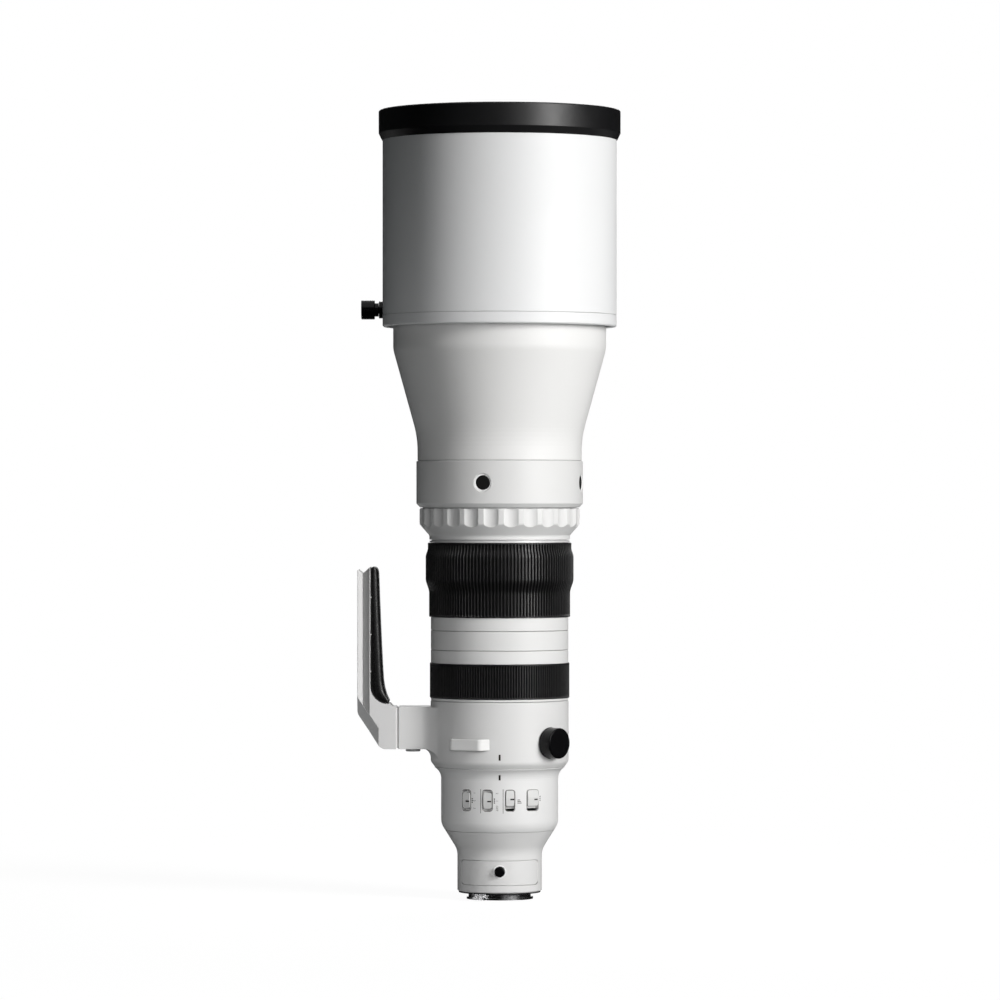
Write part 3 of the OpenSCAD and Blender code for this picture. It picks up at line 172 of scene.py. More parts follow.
cards = {        # black cards that only reflections see, as in a real studio: corner, and two edges from it
    "leftCard": {"corner": (-1.5, -3.2, -0.1), "along": (0, 4.2, 0), "up": (0, 0, 2.6)},
    "frontCard": {"corner": (-1.5, -3.2, -0.1), "along": (2.3, -0.4, 0), "up": (0, 0, 2.6)},
    "lowCard": {"corner": (-1.5, -3.2, -0.00515), "along": (3.0, 0, 0), "up": (0, 3.9, 0)},
    "backLeftCard": {"corner": (-1.5, 1, -0.1), "along": (1.2, 1.6, 0), "up": (0, 0, 2.2)},
    "backRightCard": {"corner": (1.5, 0.6, -0.1), "along": (-1.2, 2, 0), "up": (0, 0, 2.2)},
    "rightCard": {"corner": (1.9, -0.7, -0.1), "along": (-0.4, 1.3, 0), "up": (0, 0, 2.2)},
}


def makeLamp(name, lamp):
    away = Vector(lamp["at"]) - Vector(lamp["aim"])
    bpy.ops.object.light_add(type="AREA", location=lamp["at"],
                             rotation=away.to_track_quat("Z", "Y").to_euler())
    light = bpy.context.object
    light.name = name
    light.data.shape = "RECTANGLE"
    light.data.size, light.data.size_y = lamp["size"]
    light.data.energy = lamp["power"]
    light.data.color = lamp.get("tint", (1, 1, 1))
    light.data.spread = math.radians(lamp.get("spread", 180))
    light.visible_camera = False
    light.visible_glossy = lamp.get("gleam", True)
    light.visible_diffuse = lamp.get("matt", True)


def makeWorld(s):
    world = bpy.data.worlds.new("studio")
    bpy.context.scene.world = world
    world.use_nodes = True
    tree = world.node_tree
    tree.nodes.clear()
    ambient = addNode(tree, "Background", {"Strength": s["ambient"], "Color": s["ambientTint"]})
    white = addNode(tree, "Background", {"Color": (1, 1, 1, 1)})
    addNode(tree, "OutputWorld",
            {"Surface": blendShaders(tree, seenRays(tree), ambient.outputs[0], white.outputs[0])})


def makeFloor(s, bottom):        # white, apart from a faint shadow near the lens, and clear from below
    bpy.ops.mesh.primitive_plane_add(size=s["floorSize"], location=(0, 0, bottom - s["floorGap"]))
    floor = bpy.context.object
    floor.name = "floor"
    mat = bpy.data.materials.new("paleFloor")
    mat.use_nodes = True
    tree = mat.node_tree
    tree.nodes.clear()
    reach = vectorIn(tree, "LENGTH", placeIn(tree))
    near = rangeIn(tree, reach, s["shadeNear"], s["shadeFar"], 1, 0, "SMOOTHSTEP")
    pale = addNode(tree, "BsdfDiffuse", {"Color": blendColours(tree, near, s["farFloor"], s["nearFloor"])})
    glow = addNode(tree, "Emission", {"Strength": mathIn(tree, "MULTIPLY_ADD", near, -s["shadow"], 1)})
    dim = addNode(tree, "BsdfDiffuse", {"Color": mathIn(tree, "MULTIPLY", near, s["mattGain"])})
    white = tree.nodes.new("ShaderNodeAddShader")        # glow, and the share that takes the shadow
    feedInOrder(tree, (glow.outputs[0], dim.outputs[0]), white.inputs)
    seen = blendShaders(tree, seenRays(tree), pale.outputs[0], white.outputs[0])
    below = tree.nodes.new("ShaderNodeNewGeometry").outputs["Backfacing"]
    clear = tree.nodes.new("ShaderNodeBsdfTransparent").outputs[0]
    addNode(tree, "OutputMaterial", {"Surface": blendShaders(tree, below, seen, clear)})
    floor.data.materials.append(mat)


def makeCard(name, card, mat):
    corner, along, up = (Vector(card[key]) for key in ("corner", "along", "up"))
    mesh = bpy.data.meshes.new(name)
    mesh.from_pydata([corner, corner + along, corner + along + up, corner + up], [], [(0, 1, 2, 3)])
    mesh.materials.append(mat)
    board = bpy.data.objects.new(name, mesh)
    bpy.context.collection.objects.link(board)
    board.visible_camera = board.visible_diffuse = board.visible_transmission = board.visible_shadow = False


def makeCards(s, boards):
    mat = bpy.data.materials.new("blackCard")
    mat.use_nodes = True
    setInputs(mat.node_tree, mat.node_tree.nodes["Principled BSDF"],
              {"Base Color": s["card"], "Specular IOR Level": 0})
    for name, board in boards.items():
        makeCard(name, board, mat)


for lampName, lampValues in lamps.items():
    makeLamp(lampName, lampValues)
makeWorld(studio)
makeFloor(studio, cadBox[0][2])
makeCards(studio, cards)
bpy.context.scene.view_settings.view_transform = "Standard"
print("studio lit")


# Effects that several finishes share

grainForm = {"detail": 2, "patchDetail": 3, "patchRoughness": 0.6, "patch": (0.35, 0.65)}
turnedForm = {"detail": 3}
hideForm = {"driftScale": 300, "drift": 0.0012, "crease": 0.18, "cell": 0.35}
dustForm = {"detail": 4, "roughness": 0.7, "fine": (0.5, 0.75), "broadScale": 25, "broadDetail": 2,
            "broad": (0.4, 0.7)}


def newEffect(name, inputs, outputs):
    group = bpy.data.node_groups.new(name, "ShaderNodeTree")
    for label, value in inputs.items():
        group.interface.new_socket(label, in_out="INPUT", socket_type="NodeSocketFloat").default_value = value
    for label in outputs:
        group.interface.new_socket(label, in_out="OUTPUT", socket_type="NodeSocketFloat")
    return group, group.nodes.new("NodeGroupInput"), group.nodes.new("NodeGroupOutput")


def makeGrain(f):        # fine orange-peel grain, and broad soft patches
    group, given, out = newEffect("fineGrain", {"Scale": 2500, "Patch Scale": 12}, ("Height", "Patch"))
    place = placeIn(group)
    patch = noiseIn(group, place, given.outputs["Patch Scale"], f["patchDetail"], f["patchRoughness"])
    setInputs(group, out, {"Height": noiseIn(group, place, given.outputs["Scale"], f["detail"]),
                           "Patch": rangeIn(group, patch, *f["patch"], 0, 1)})
    return group


def makeTurned(f):        # the fine rings that a lathe leaves round the optical axis
    group, given, out = newEffect("turnedLines", {"Scale": 5000}, ("Height",))
    place = placeIn(group)
    reach = vectorIn(group, "LENGTH", vectorIn(group, "MULTIPLY", place, (1, 1, 0)))
    split = addNode(group, "SeparateXYZ", {"Vector": place})
    noise = group.nodes.new("ShaderNodeTexNoise")
    noise.noise_dimensions = "1D"
    setInputs(group, noise, {"Scale": given.outputs["Scale"], "Detail": f["detail"],
                             "W": mathIn(group, "ADD", reach, split.outputs["Z"])})
    group.links.new(noise.outputs["Fac"], out.inputs["Height"])
    return group


def makeHide(f):        # leather grain: rounded cells with creases between them
    group, given, out = newEffect("hideGrain", {"Scale": 900}, ("Height", "Crease"))
    place = placeIn(group)
    drift = addNode(group, "TexNoise", {"Vector": place, "Scale": f["driftScale"]}).outputs["Color"]
    cells = group.nodes.new("ShaderNodeTexVoronoi")
    cells.feature = "DISTANCE_TO_EDGE"
    setInputs(group, cells, {"Vector": vectorIn(group, "MULTIPLY_ADD", drift, (f["drift"],) * 3, place),
                             "Scale": given.outputs["Scale"]})
    setInputs(group, out, {"Crease": rangeIn(group, cells.outputs["Distance"], 0, f["crease"], 1, 0),
                           "Height": rangeIn(group, cells.outputs["Distance"], 0, f["cell"], 0, 1)})
    return group


def makeDust(f):        # specks of dust and faint wear, denser in some places
    group, given, out = newEffect("dust", {"Scale": 900, "Amount": 0.5}, ("Mask",))
    place = placeIn(group)
    fine = noiseIn(group, place, given.outputs["Scale"], f["detail"], f["roughness"])
    broad = noiseIn(group, place, f["broadScale"], f["broadDetail"])
    both = mathIn(group, "MULTIPLY", rangeIn(group, fine, *f["fine"], 0, 1),
                  rangeIn(group, broad, *f["broad"], 0, 1))
    group.links.new(mathIn(group, "MULTIPLY", both, given.outputs["Amount"]), out.inputs["Mask"])
    return group


effects = {"grain": makeGrain(grainForm), "turned": makeTurned(turnedForm), "hide": makeHide(hideForm),
           "dust": makeDust(dustForm)}
print("effects made:", len(effects))


# Finishes

def startFinish(name, look):        # a Principled shader with the finish's uniform values
    mat = bpy.data.materials.new(name)
    mat.use_nodes = True
    shader = setInputs(mat.node_tree, mat.node_tree.nodes["Principled BSDF"],
                       {"Base Color": (*look["colour"], 1), "Metallic": look.get("metal", 0),
                        "Roughness": look["rough"], "Specular IOR Level": look.get("gleam", 0.5)})
    return mat, mat.node_tree, shader


def addEffect(tree, name, values):
    node = tree.nodes.new("ShaderNodeGroup")
    node.node_tree = effects[name]
    return setInputs(tree, node, values).outputs


def addGrain(tree, look):
    return addEffect(tree, "grain", {"Scale": look["grain"], "Patch Scale": look["patches"]})


def blendBase(tree, shader, mask, first, second):
    tree.links.new(blendColours(tree, mask, first, second), shader.inputs["Base Color"])


def driftRough(tree, shader, mask, look, low=0, high=1):        # roughDrift is how far it goes down and up
    less, more = look["roughDrift"]
    tree.links.new(rangeIn(tree, mask, low, high, look["rough"] + less, look["rough"] + more),
                   shader.inputs["Roughness"])


def addBump(tree, shader, height, depth, edge=0):        # edge is the radius that softens hard edges
    bump = addNode(tree, "Bump", {"Strength": 1, "Distance": depth, "Height": height})
    if edge:
        bevel = addNode(tree, "Bevel", {"Radius": edge})
        bevel.samples = 4
        tree.links.new(bevel.outputs[0], bump.inputs["Normal"])
    tree.links.new(bump.outputs[0], shader.inputs["Normal"])


def paintFinish(name, look):        # sprayed satin paint: grain, and colour and gloss that drift a little
    mat, tree, shader = startFinish(name, look)
    grain = addGrain(tree, look)
    blendBase(tree, shader, grain["Patch"], look["colour"], [c * look["drift"] for c in look["colour"]])
    driftRough(tree, shader, grain["Patch"], look)
    addBump(tree, shader, grain["Height"], look["depth"], look["edge"])
    return mat


def rubberFinish(name, look):        # moulded rubber with a fine matt skin and a little dust
    mat, tree, shader = startFinish(name, look)
    grain = addGrain(tree, look)
    dust = addEffect(tree, "dust", {"Scale": look["dustScale"], "Amount": look["dust"]})
    blendBase(tree, shader, dust["Mask"], look["colour"], look["dustColour"])
    driftRough(tree, shader, grain["Patch"], look)
    addBump(tree, shader, grain["Height"], look["depth"], look["edge"])
    return mat


def metalFinish(name, look):        # turned metal: rings from the lathe in the normal and the gloss
    mat, tree, shader = startFinish(name, look)
    turned = addEffect(tree, "turned", {"Scale": look["lines"]})
    grain = addGrain(tree, look)
    driftRough(tree, shader, turned["Height"], look, *look["lineRange"])
    blendBase(tree, shader, grain["Patch"], look["colour"], [c * look["drift"] for c in look["colour"]])
    addBump(tree, shader, turned["Height"], look["depth"], look["edge"])
    return mat


def leatherFinish(name, look):        # fine hide, glossier on its cells than in its creases, and darker in its creases: painted shade
    mat, tree, shader = startFinish(name, look)
    hide = addEffect(tree, "hide", {"Scale": look["cells"]})
    blendBase(tree, shader, hide["Crease"], look["colour"], look["creaseShadeColour"])
    driftRough(tree, shader, hide["Crease"], look)
    addBump(tree, shader, hide["Height"], look["depth"])
    return mat


def glassFinish(name, look):        # coated glass, with faint smears in its gloss
    mat, tree, shader = startFinish(name, look)
    setInputs(tree, shader, {"Transmission Weight": 1, "IOR": look["index"],
                             "Thin Film Thickness": look["coat"], "Thin Film IOR": look["coatIndex"]})
    driftRough(tree, shader, addGrain(tree, look)["Patch"], look)
    return mat


def boardFinish(name, look):        # solder mask over traces that run in squares
    mat, tree, shader = startFinish(name, look)
    traces = addNode(tree, "TexBrick", {"Vector": placeIn(tree), "Scale": look["traces"],
                                        "Mortar Size": look["traceWidth"], "Color1": (*look["colour"], 1),
                                        "Color2": (*look["colour"], 1), "Mortar": (*look["traceColour"], 1)})
    tree.links.new(traces.outputs["Color"], shader.inputs["Base Color"])
    addBump(tree, shader, traces.outputs["Fac"], look["depth"])
    return mat


paint = {"rough": 0.5, "roughDrift": (-0.03, 0.04), "gleam": 0.35, "grain": 3000, "patches": 9,
         "depth": 0.00002, "edge": 0.0004, "drift": 0.985}
rubber = {"roughDrift": (-0.05, 0.05), "grain": 3500, "patches": 20, "depth": 0.00003, "edge": 0.0002,
          "dust": 0.3, "dustScale": 1400, "dustColour": (0.05, 0.05, 0.05)}
metal = {"metal": 1, "roughDrift": (-0.06, 0.08), "lineRange": (0.3, 0.7), "grain": 900, "patches": 40,
         "depth": 0.00001, "edge": 0.0002, "drift": 0.86}
looks = {
    "offWhitePaint": (paintFinish, {**paint, "colour": (0.72, 0.718, 0.712)}),
    "bandPaint": (paintFinish, {**paint, "colour": (0.66, 0.659, 0.655)}),
    # lowPaint is darker than the body paint; on the tripod collar it darkens the collar's arm as painted shade
    "lowPaint": (paintFinish, {**paint, "colour": (0.64, 0.638, 0.636)}),
    "housePaint": (paintFinish, {**paint, "colour": (0.68, 0.679, 0.678)}),
    # shadedFootPaint: a darker copy of the body paint, painted shade on the foot
    "shadedFootPaint": (paintFinish, {**paint, "colour": (0.6, 0.597, 0.598), "edge": 0.0006}),
    # paintedShade: a dark copy of the body paint, painted shade on one flank of the foot's groove
    "paintedShade": (paintFinish, {**paint, "colour": (0.36, 0.36, 0.36), "edge": 0.0002}),
    # ringHighlightPaint: brighter than the body paint, a painted highlight on the rims round the knob and
    # buttons
    "ringHighlightPaint": (paintFinish, {**paint, "colour": (0.88, 0.88, 0.88), "rough": 0.25, "edge": 0.0002}),
    "hoodPaint": (paintFinish, {**paint, "colour": (0.735, 0.74, 0.745), "grain": 2500}),
    "whitePlastic": (paintFinish, {**paint, "colour": (0.6, 0.6, 0.595), "edge": 0.0002}),
    "greyPlastic": (paintFinish, {**paint, "colour": (0.45, 0.45, 0.45), "rough": 0.4, "edge": 0.0002}),
    "darkInk": (paintFinish, {**paint, "colour": (0.012, 0.008, 0.007), "edge": 0}),
    # windowShadeInk: painted shade for the lines round the windows
    "windowShadeInk": (paintFinish, {**paint, "colour": (0.12, 0.113, 0.11), "edge": 0}),
    "fadedInk": (paintFinish, {**paint, "colour": (0.1, 0.094, 0.092), "edge": 0}),
    "gripRubber": (rubberFinish, {**rubber, "colour": (0.006, 0.006, 0.0063), "rough": 0.42, "gleam": 0.5,
                                  "dust": 0.05, "edge": 0.0003}),
    "bumperRubber": (rubberFinish, {**rubber, "colour": (0.006, 0.006, 0.0065), "rough": 0.38, "gleam": 0.3,
                                    "dust": 0.1}),
    "sealRubber": (rubberFinish, {**rubber, "colour": (0.008, 0.008, 0.008), "rough": 0.6, "gleam": 0.2}),
    "buttonRubber": (rubberFinish, {**rubber, "colour": (0.006, 0.006, 0.006), "rough": 0.55, "gleam": 0.2,
                                    "dust": 0.05}),
    "knobMetal": (rubberFinish, {**rubber, "colour": (0.0022, 0.0022, 0.0026), "rough": 0.24, "gleam": 0.2,
                                 "dust": 0.01, "edge": 0.0005}),
    "blackPlastic": (rubberFinish, {**rubber, "colour": (0.01, 0.01, 0.01), "rough": 0.5, "gleam": 0.35}),
    "flock": (rubberFinish, {**rubber, "colour": (0.004, 0.004, 0.004), "rough": 0.9, "gleam": 0.05,
                             "depth": 0.0001}),
    "innerMetal": (metalFinish, {**metal, "colour": (0.02, 0.02, 0.022), "metal": 0.3, "rough": 0.45,
                                 "lines": 5000}),
    "tubeMetal": (metalFinish, {**metal, "colour": (0.33, 0.33, 0.35), "rough": 0.4, "lines": 4000}),
    "mountSteel": (metalFinish, {**metal, "colour": (0.6, 0.6, 0.61), "rough": 0.23, "lines": 7000,
                                 "depth": 0.0000005}),
    "screwSteel": (metalFinish, {**metal, "colour": (0.55, 0.55, 0.55), "rough": 0.3, "lines": 6000,
                                 "edge": 0.0001}),
    "goldPlate": (metalFinish, {**metal, "colour": (0.9, 0.68, 0.3), "rough": 0.25, "lines": 9000,
                                "depth": 0.000005, "edge": 0.00005}),
    "brassMetal": (metalFinish, {**metal, "colour": (0.72, 0.52, 0.24), "rough": 0.35, "lines": 5000}),
    "brightTrim": (metalFinish, {**metal, "colour": (0.72, 0.72, 0.72), "metal": 0.15, "rough": 0.38,
                                 "lines": 8000, "depth": 0.000006, "edge": 0.0001}),
    # creaseShadeColour: painted shade in the creases of the hide
    "padLeather": (leatherFinish, {"colour": (0.0024, 0.0024, 0.0026), "creaseShadeColour": (0.001, 0.001, 0.001),
                                   "rough": 0.27, "roughDrift": (0, 0.25), "gleam": 0.3, "cells": 1000,
                                   "depth": 0.00002}),
    "coatedGlass": (glassFinish, {"colour": (1, 1, 1), "rough": 0, "roughDrift": (0, 0.04), "index": 1.6,
                                  "coat": 480, "coatIndex": 1.38, "grain": 60, "patches": 18}),
    "circuitBoard": (boardFinish, {"colour": (0.02, 0.12, 0.06), "traceColour": (0.05, 0.2, 0.1), "rough": 0.3,
                                   "traces": 220, "traceWidth": 0.03, "depth": 0.00003}),
}
finishes = {name: make(name, look) for name, (make, look) in looks.items()}
print("finishes made:", len(finishes))

bySlot = {
    "white_paint": "offWhitePaint", "black_rubber": "gripRubber", "black_metal": "innerMetal",
    "grey_metal": "tubeMetal", "mount_steel": "mountSteel", "screw_steel": "screwSteel", "gold": "goldPlate",
    "brass": "brassMetal", "bright_trim": "brightTrim", "glass": "coatedGlass",
    "black_plastic": "blackPlastic", "white_plastic": "whitePlastic", "grey_plastic": "greyPlastic",
    "black_button": "buttonRubber", "pad_leather": "padLeather", "black_flock": "flock",
    "board": "circuitBoard",
}
ownFinish = {        # nodes that don't get their slot's finish
    "hoodPaint": ("hood_base", "hood_tube"),
    "bandPaint": ("button_band", "function_ring", "zoom_sleeve", "centre_band", "focus_sleeve"),
    "housePaint": ("switch_housing",),
    "lowPaint": ("tripod_collar", "rear_barrel", "filter_holder"),
    "shadedFootPaint": ("tripod_foot",),
    "bumperRubber": ("hood_bumper",),
    "sealRubber": ("mount_seal",),
    "knobMetal": ("collar_knob", "filter_knob", "hood_knob", "hood_bush"),
}
byNode = {node: finish for finish, group in ownFinish.items() for node in group}
groove = {"across": (-0.68, -0.62), "facing": 0.7}        # the normals of the flank that gets painted shade


def dressNode(name, finish):
    mesh = nodes[name].data
    mesh.materials.clear()
    mesh.materials.append(finishes[finish])


def shadeGroove(g):        # one flank of the foot's groove gets a darker paint: painted shade
    foot = nodes["tripod_foot"].data
    foot.materials.append(finishes["paintedShade"])
    for flank in foot.polygons:
        if g["across"][0] < flank.normal.x < g["across"][1] and abs(flank.normal.y) > g["facing"]:
            flank.material_index = 1


for part in frame["record"]["subparts"]:
    dressNode(part["node"], byNode.get(part["node"], bySlot[part["material_slot"]]))
shadeGroove(groove)
print("nodes dressed")


# Modelling helpers

tiny = 0.000001        # places nearer to each other than this are one place


def restart():        # nothing selected, nothing in edit mode
    if bpy.context.object and bpy.context.object.mode != "OBJECT":
        bpy.ops.object.mode_set(mode="OBJECT")
    bpy.ops.object.select_all(action="DESELECT")


def makeActive(piece):
    restart()
    piece.select_set(True)
    bpy.context.view_layer.objects.active = piece


def pick(piece, kind, test):        # edit mode, with the faces, edges or vertices that pass the test selected
    modes = {"polygons": "FACE", "edges": "EDGE", "vertices": "VERT"}
    makeActive(piece)
    bpy.ops.object.mode_set(mode="EDIT")
    bpy.ops.mesh.select_mode(type=modes[kind])
    bpy.ops.mesh.select_all(action="DESELECT")
    bpy.ops.object.mode_set(mode="OBJECT")
    for item in getattr(piece.data, kind):
        item.select = bool(test(item))
    bpy.ops.object.mode_set(mode="EDIT")


def facesUp(face):        # nearly level
    return face.normal.z > 0.9


def editAll():        # edit mode, with everything selected
    bpy.ops.object.mode_set(mode="EDIT")
    bpy.ops.mesh.select_all(action="SELECT")


def faceOutward():        # and back to object mode
    bpy.ops.mesh.select_all(action="SELECT")
    bpy.ops.mesh.normals_make_consistent(inside=False)
    bpy.ops.object.mode_set(mode="OBJECT")


def bevelPicked(offset, segments):        # and back to object mode
    bpy.ops.mesh.bevel(offset=offset, segments=segments, affect="EDGES")
    bpy.ops.object.mode_set(mode="OBJECT")


def settle(piece):        # the place goes into the mesh, and the object back to the origin
    makeActive(piece)
    bpy.ops.object.transform_apply(location=True, rotation=True, scale=True)


def applyModifier(piece, kind, **values):
    makeActive(piece)
    modifier = piece.modifiers.new(kind.lower(), kind)
    for label, value in values.items():
        setattr(modifier, label, value)
    bpy.context.view_layer.update()
    bpy.ops.object.modifier_apply(modifier=modifier.name)


def joinPieces(name, parts):
    makeActive(parts[0])
    for part in parts:
        part.select_set(True)
    if len(parts) > 1:
        bpy.ops.object.join()
    whole = bpy.context.object
    whole.name = name
    return whole


def copyPiece(piece):
    twin = piece.copy()
    twin.data = piece.data.copy()
    bpy.context.collection.objects.link(twin)
    return twin


def box(size, at=(0, 0, 0), turn=0):
    restart()
    bpy.ops.mesh.primitive_cube_add(size=1, location=at, rotation=(0, 0, turn))
    piece = bpy.context.object
    piece.scale = size
    settle(piece)
    return piece


def flatRing(out, bore, deep, sides):        # stands up from the origin
    restart()
    bpy.ops.mesh.primitive_circle_add(vertices=sides, radius=out, fill_type="NGON")
    editAll()
    bpy.ops.mesh.inset(thickness=out - bore)
    bpy.ops.mesh.delete(type="FACE")
    bpy.ops.mesh.select_all(action="SELECT")
    bpy.ops.mesh.extrude_region_move(TRANSFORM_OT_translate={"value": (0, 0, deep)})
    faceOutward()
    return bpy.context.object


def dressPiece(piece, finish, body, angle=None):        # smooth shading up to the angle, if it is given
    makeActive(piece)
    if angle:
        bpy.ops.object.shade_smooth_by_angle(angle=math.radians(angle))
    piece.data.materials.clear()
    piece.data.materials.append(finishes[finish])
    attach(piece, body)


# Printed marks, drawn flat in front of the lens, wrapped on the node that carries them, and as thick as paint

markForm = {"start": 0.2, "thick": 0.00006, "barCuts": 6, "dotSides": 18, "cornerSteps": 5, "lineCuts": 3}


def bar(m):
    bpy.ops.mesh.primitive_grid_add(x_subdivisions=markForm["barCuts"], y_subdivisions=2, size=1,
                                    rotation=(math.pi / 2, 0, 0))
    bpy.context.object.scale = (m["w"], m["h"], 1)


def dot(m):
    bpy.ops.mesh.primitive_circle_add(vertices=markForm["dotSides"], radius=m["r"], fill_type="NGON",
                                      rotation=(math.pi / 2, 0, 0))


def outline(m):        # a line round a window, with the window's rounded corners
    bpy.ops.mesh.primitive_plane_add(size=1)
    edging = bpy.context.object
    edging.scale = (m["w"] + 2 * m["line"], m["h"] + 2 * m["line"], 1)
    settle(edging)
    editAll()
    bpy.ops.mesh.bevel(offset=m["corner"] + m["line"], segments=markForm["cornerSteps"], affect="VERTICES")
    bpy.ops.mesh.select_all(action="SELECT")
    bpy.ops.mesh.inset(thickness=m["line"])
    bpy.ops.mesh.delete(type="FACE")
    bpy.ops.mesh.select_all(action="SELECT")
    bpy.ops.mesh.subdivide(number_cuts=markForm["lineCuts"])
    bpy.ops.object.mode_set(mode="OBJECT")
    edging.rotation_euler = (math.pi / 2, 0, 0)


def word(m):        # reads from the hood towards the camera, as on such lenses
    bpy.ops.object.text_add()
    letters = bpy.context.object
    letters.data.body = m["text"]
    letters.data.size = m["size"]
    letters.data.align_x = letters.data.align_y = "CENTER"
    bpy.ops.object.convert(target="MESH")
    letters = bpy.context.object
    letters.rotation_euler = (0, 0, -math.pi / 2)
    settle(letters)
    letters.rotation_euler = (math.pi / 2, 0, 0)


def makeMark(m):
    restart()
    {"bar": bar, "dot": dot, "outline": outline, "word": word}[m["kind"]](m)
    mark = bpy.context.object
    mark.location = (m.get("x", 0), -markForm["start"], m["z"])
    settle(mark)
    mark.rotation_euler = (0, 0, math.radians(m.get("angle", 0)))
    applyModifier(mark, "SHRINKWRAP", target=nodes[m["on"]], wrap_method="PROJECT", use_project_y=True)
    applyModifier(mark, "SOLIDIFY", thickness=markForm["thick"], offset=0)
    settle(mark)
    return mark


def makeMarks(name, marks, finish, body):
    dressPiece(joinPieces(name, [makeMark(m) for m in marks]), finish, body)


# lines are the widths of the painted shade round each window
windows = {"angles": (-34.1, -11.8, 10.3, 34.2), "widths": (0.0074, 0.0074, 0.0074, 0.0108), "height": 0.0162,
           "z": 0.074, "corner": 0.002, "gap": 0.00004, "lines": (0.00042, 0.00042, 0.00034, 0.00026)}
housing = {"on": "switch_housing", "r": 0.00052, "size": 0.0025}        # r for dots, size for letters


def dotsAt(angle, *heights):
    return [{**housing, "kind": "dot", "angle": angle, "z": z} for z in heights]


def lettersAt(angle, *rows):
    return [{**housing, "kind": "word", "text": text, "angle": angle, "z": z} for text, z in rows]


# the lines round the windows are painted shade: dark outlines for the shadowed gaps round the sliders
windowShadeLines = [{**housing, "kind": "outline", "w": width + windows["gap"],
                "h": windows["height"] + windows["gap"], "line": line, "corner": windows["corner"],
                "z": windows["z"], "angle": angle}
               for angle, width, line in zip(windows["angles"], windows["widths"], windows["lines"])]
darkMarks = [
    {**housing, "kind": "bar", "w": 0.0015, "h": 0.0042, "z": 0.0919},
    *dotsAt(-27.6, 0.0753, 0.0739, 0.0725),
    *dotsAt(-5.1, 0.0753, 0.0738, 0.0723),
    {**housing, "kind": "bar", "w": 0.0022, "h": 0.00056, "angle": 18.9, "z": 0.0745},
    {**housing, "kind": "bar", "w": 0.0028, "h": 0.00056, "angle": 19.3, "z": 0.0733},
    {**housing, "kind": "bar", "w": 0.0034, "h": 0.00056, "angle": 19.7, "z": 0.0721},
    *dotsAt(43.2, 0.0768, 0.0752, 0.0737),
]
paleMarks = [
    {**housing, "kind": "bar", "w": 0.0004, "h": 0.0189, "angle": -18.7, "z": 0.0735},
    {**housing, "kind": "bar", "w": 0.0004, "h": 0.0189, "angle": 3.4, "z": 0.0735},
    *lettersAt(-25.3, ("1", 0.0798), ("2", 0.0739), ("3", 0.068)),
    *lettersAt(-2.6, ("2", 0.0797), ("1", 0.0738), ("OFF", 0.068)),
]
collarMark = {"kind": "bar", "w": 0.0015, "h": 0.0046, "z": 0.1078, "on": "tripod_collar"}
sliderMark = {"kind": "bar", "w": 0.0032, "h": 0.0011}
sliderLines = {
    "custom_slider": {"angle": -34.1, "x": 0.0013, "z": 0.0733},
    "stabiliser_slider": {"angle": -11.8, "x": 0.0015, "z": 0.0734},
    "limiter_slider": {"angle": 10.3, "x": 0.0016, "z": 0.07504},
    "focus_slider": {"angle": 34.2, "x": 0.0026, "z": 0.0746},
}

makeMarks("windowShadeLines", windowShadeLines, "windowShadeInk", "barrel")
makeMarks("housingMarks", darkMarks, "darkInk", "barrel")
makeMarks("housingLetters", paleMarks, "fadedInk", "barrel")
makeMarks("collarIndex", [collarMark], "darkInk", "tripod_collar")
for sliderName, place in sliderLines.items():
    makeMarks(sliderName + "_line", [{**sliderMark, "on": sliderName, **place}],
              "darkInk", sliderName)
print("marks printed")


# Washers that show as fine lines: over the housing, under the button band and under the front barrel

washerSides = 192
washers = {
    "collarWasher": {"out": 0.05075, "in": 0.0495, "low": 0.09832, "high": 0.09868},
    "bandWasher": {"out": 0.0622, "in": 0.0612, "low": 0.30074, "high": 0.30097},
    "frontWasher": {"out": 0.0641, "in": 0.0634, "low": 0.33793, "high": 0.33847},
}


def makeWasher(name, w):
    washer = flatRing(w["out"], w["in"], w["high"] - w["low"], washerSides)
    washer.location = (0, 0, w["low"])
    settle(washer)
    washer.name = name
    dressPiece(washer, "greyPlastic", "barrel", angle=30)


for washerName, washerValues in washers.items():
    makeWasher(washerName, washerValues)
print("washers made")


# Mount screws: countersunk, with a cross recess

screws = {"circle": 0.02749, "count": 4, "firstAngle": 45, "turn": 0.4, "turnStep": 1.1, "sides": 48,
          "headRadius": 0.002, "shankRadius": 0.001, "headHeight": 0.0012, "length": 0.005,
          "crossLength": 0.0026, "crossWidth": 0.00055, "crossDepth": 0.0008, "crossTaper": 0.55,
          "edge": 0.00012}


def cutCross(screw, s):        # the recess narrows with depth
    blades = []
    for turn in (0, math.pi / 2):
        blade = box((s["crossLength"], s["crossWidth"], 2 * s["crossDepth"]), turn=turn)
        pick(blade, "polygons", facesUp)
        bpy.ops.transform.resize(value=(s["crossTaper"], s["crossTaper"], 1))
        bpy.ops.object.mode_set(mode="OBJECT")
        blades.append(blade)
    for blade in blades:
        applyModifier(screw, "BOOLEAN", object=blade, operation="DIFFERENCE", solver="EXACT")
    for blade in blades:
        bpy.data.objects.remove(blade)


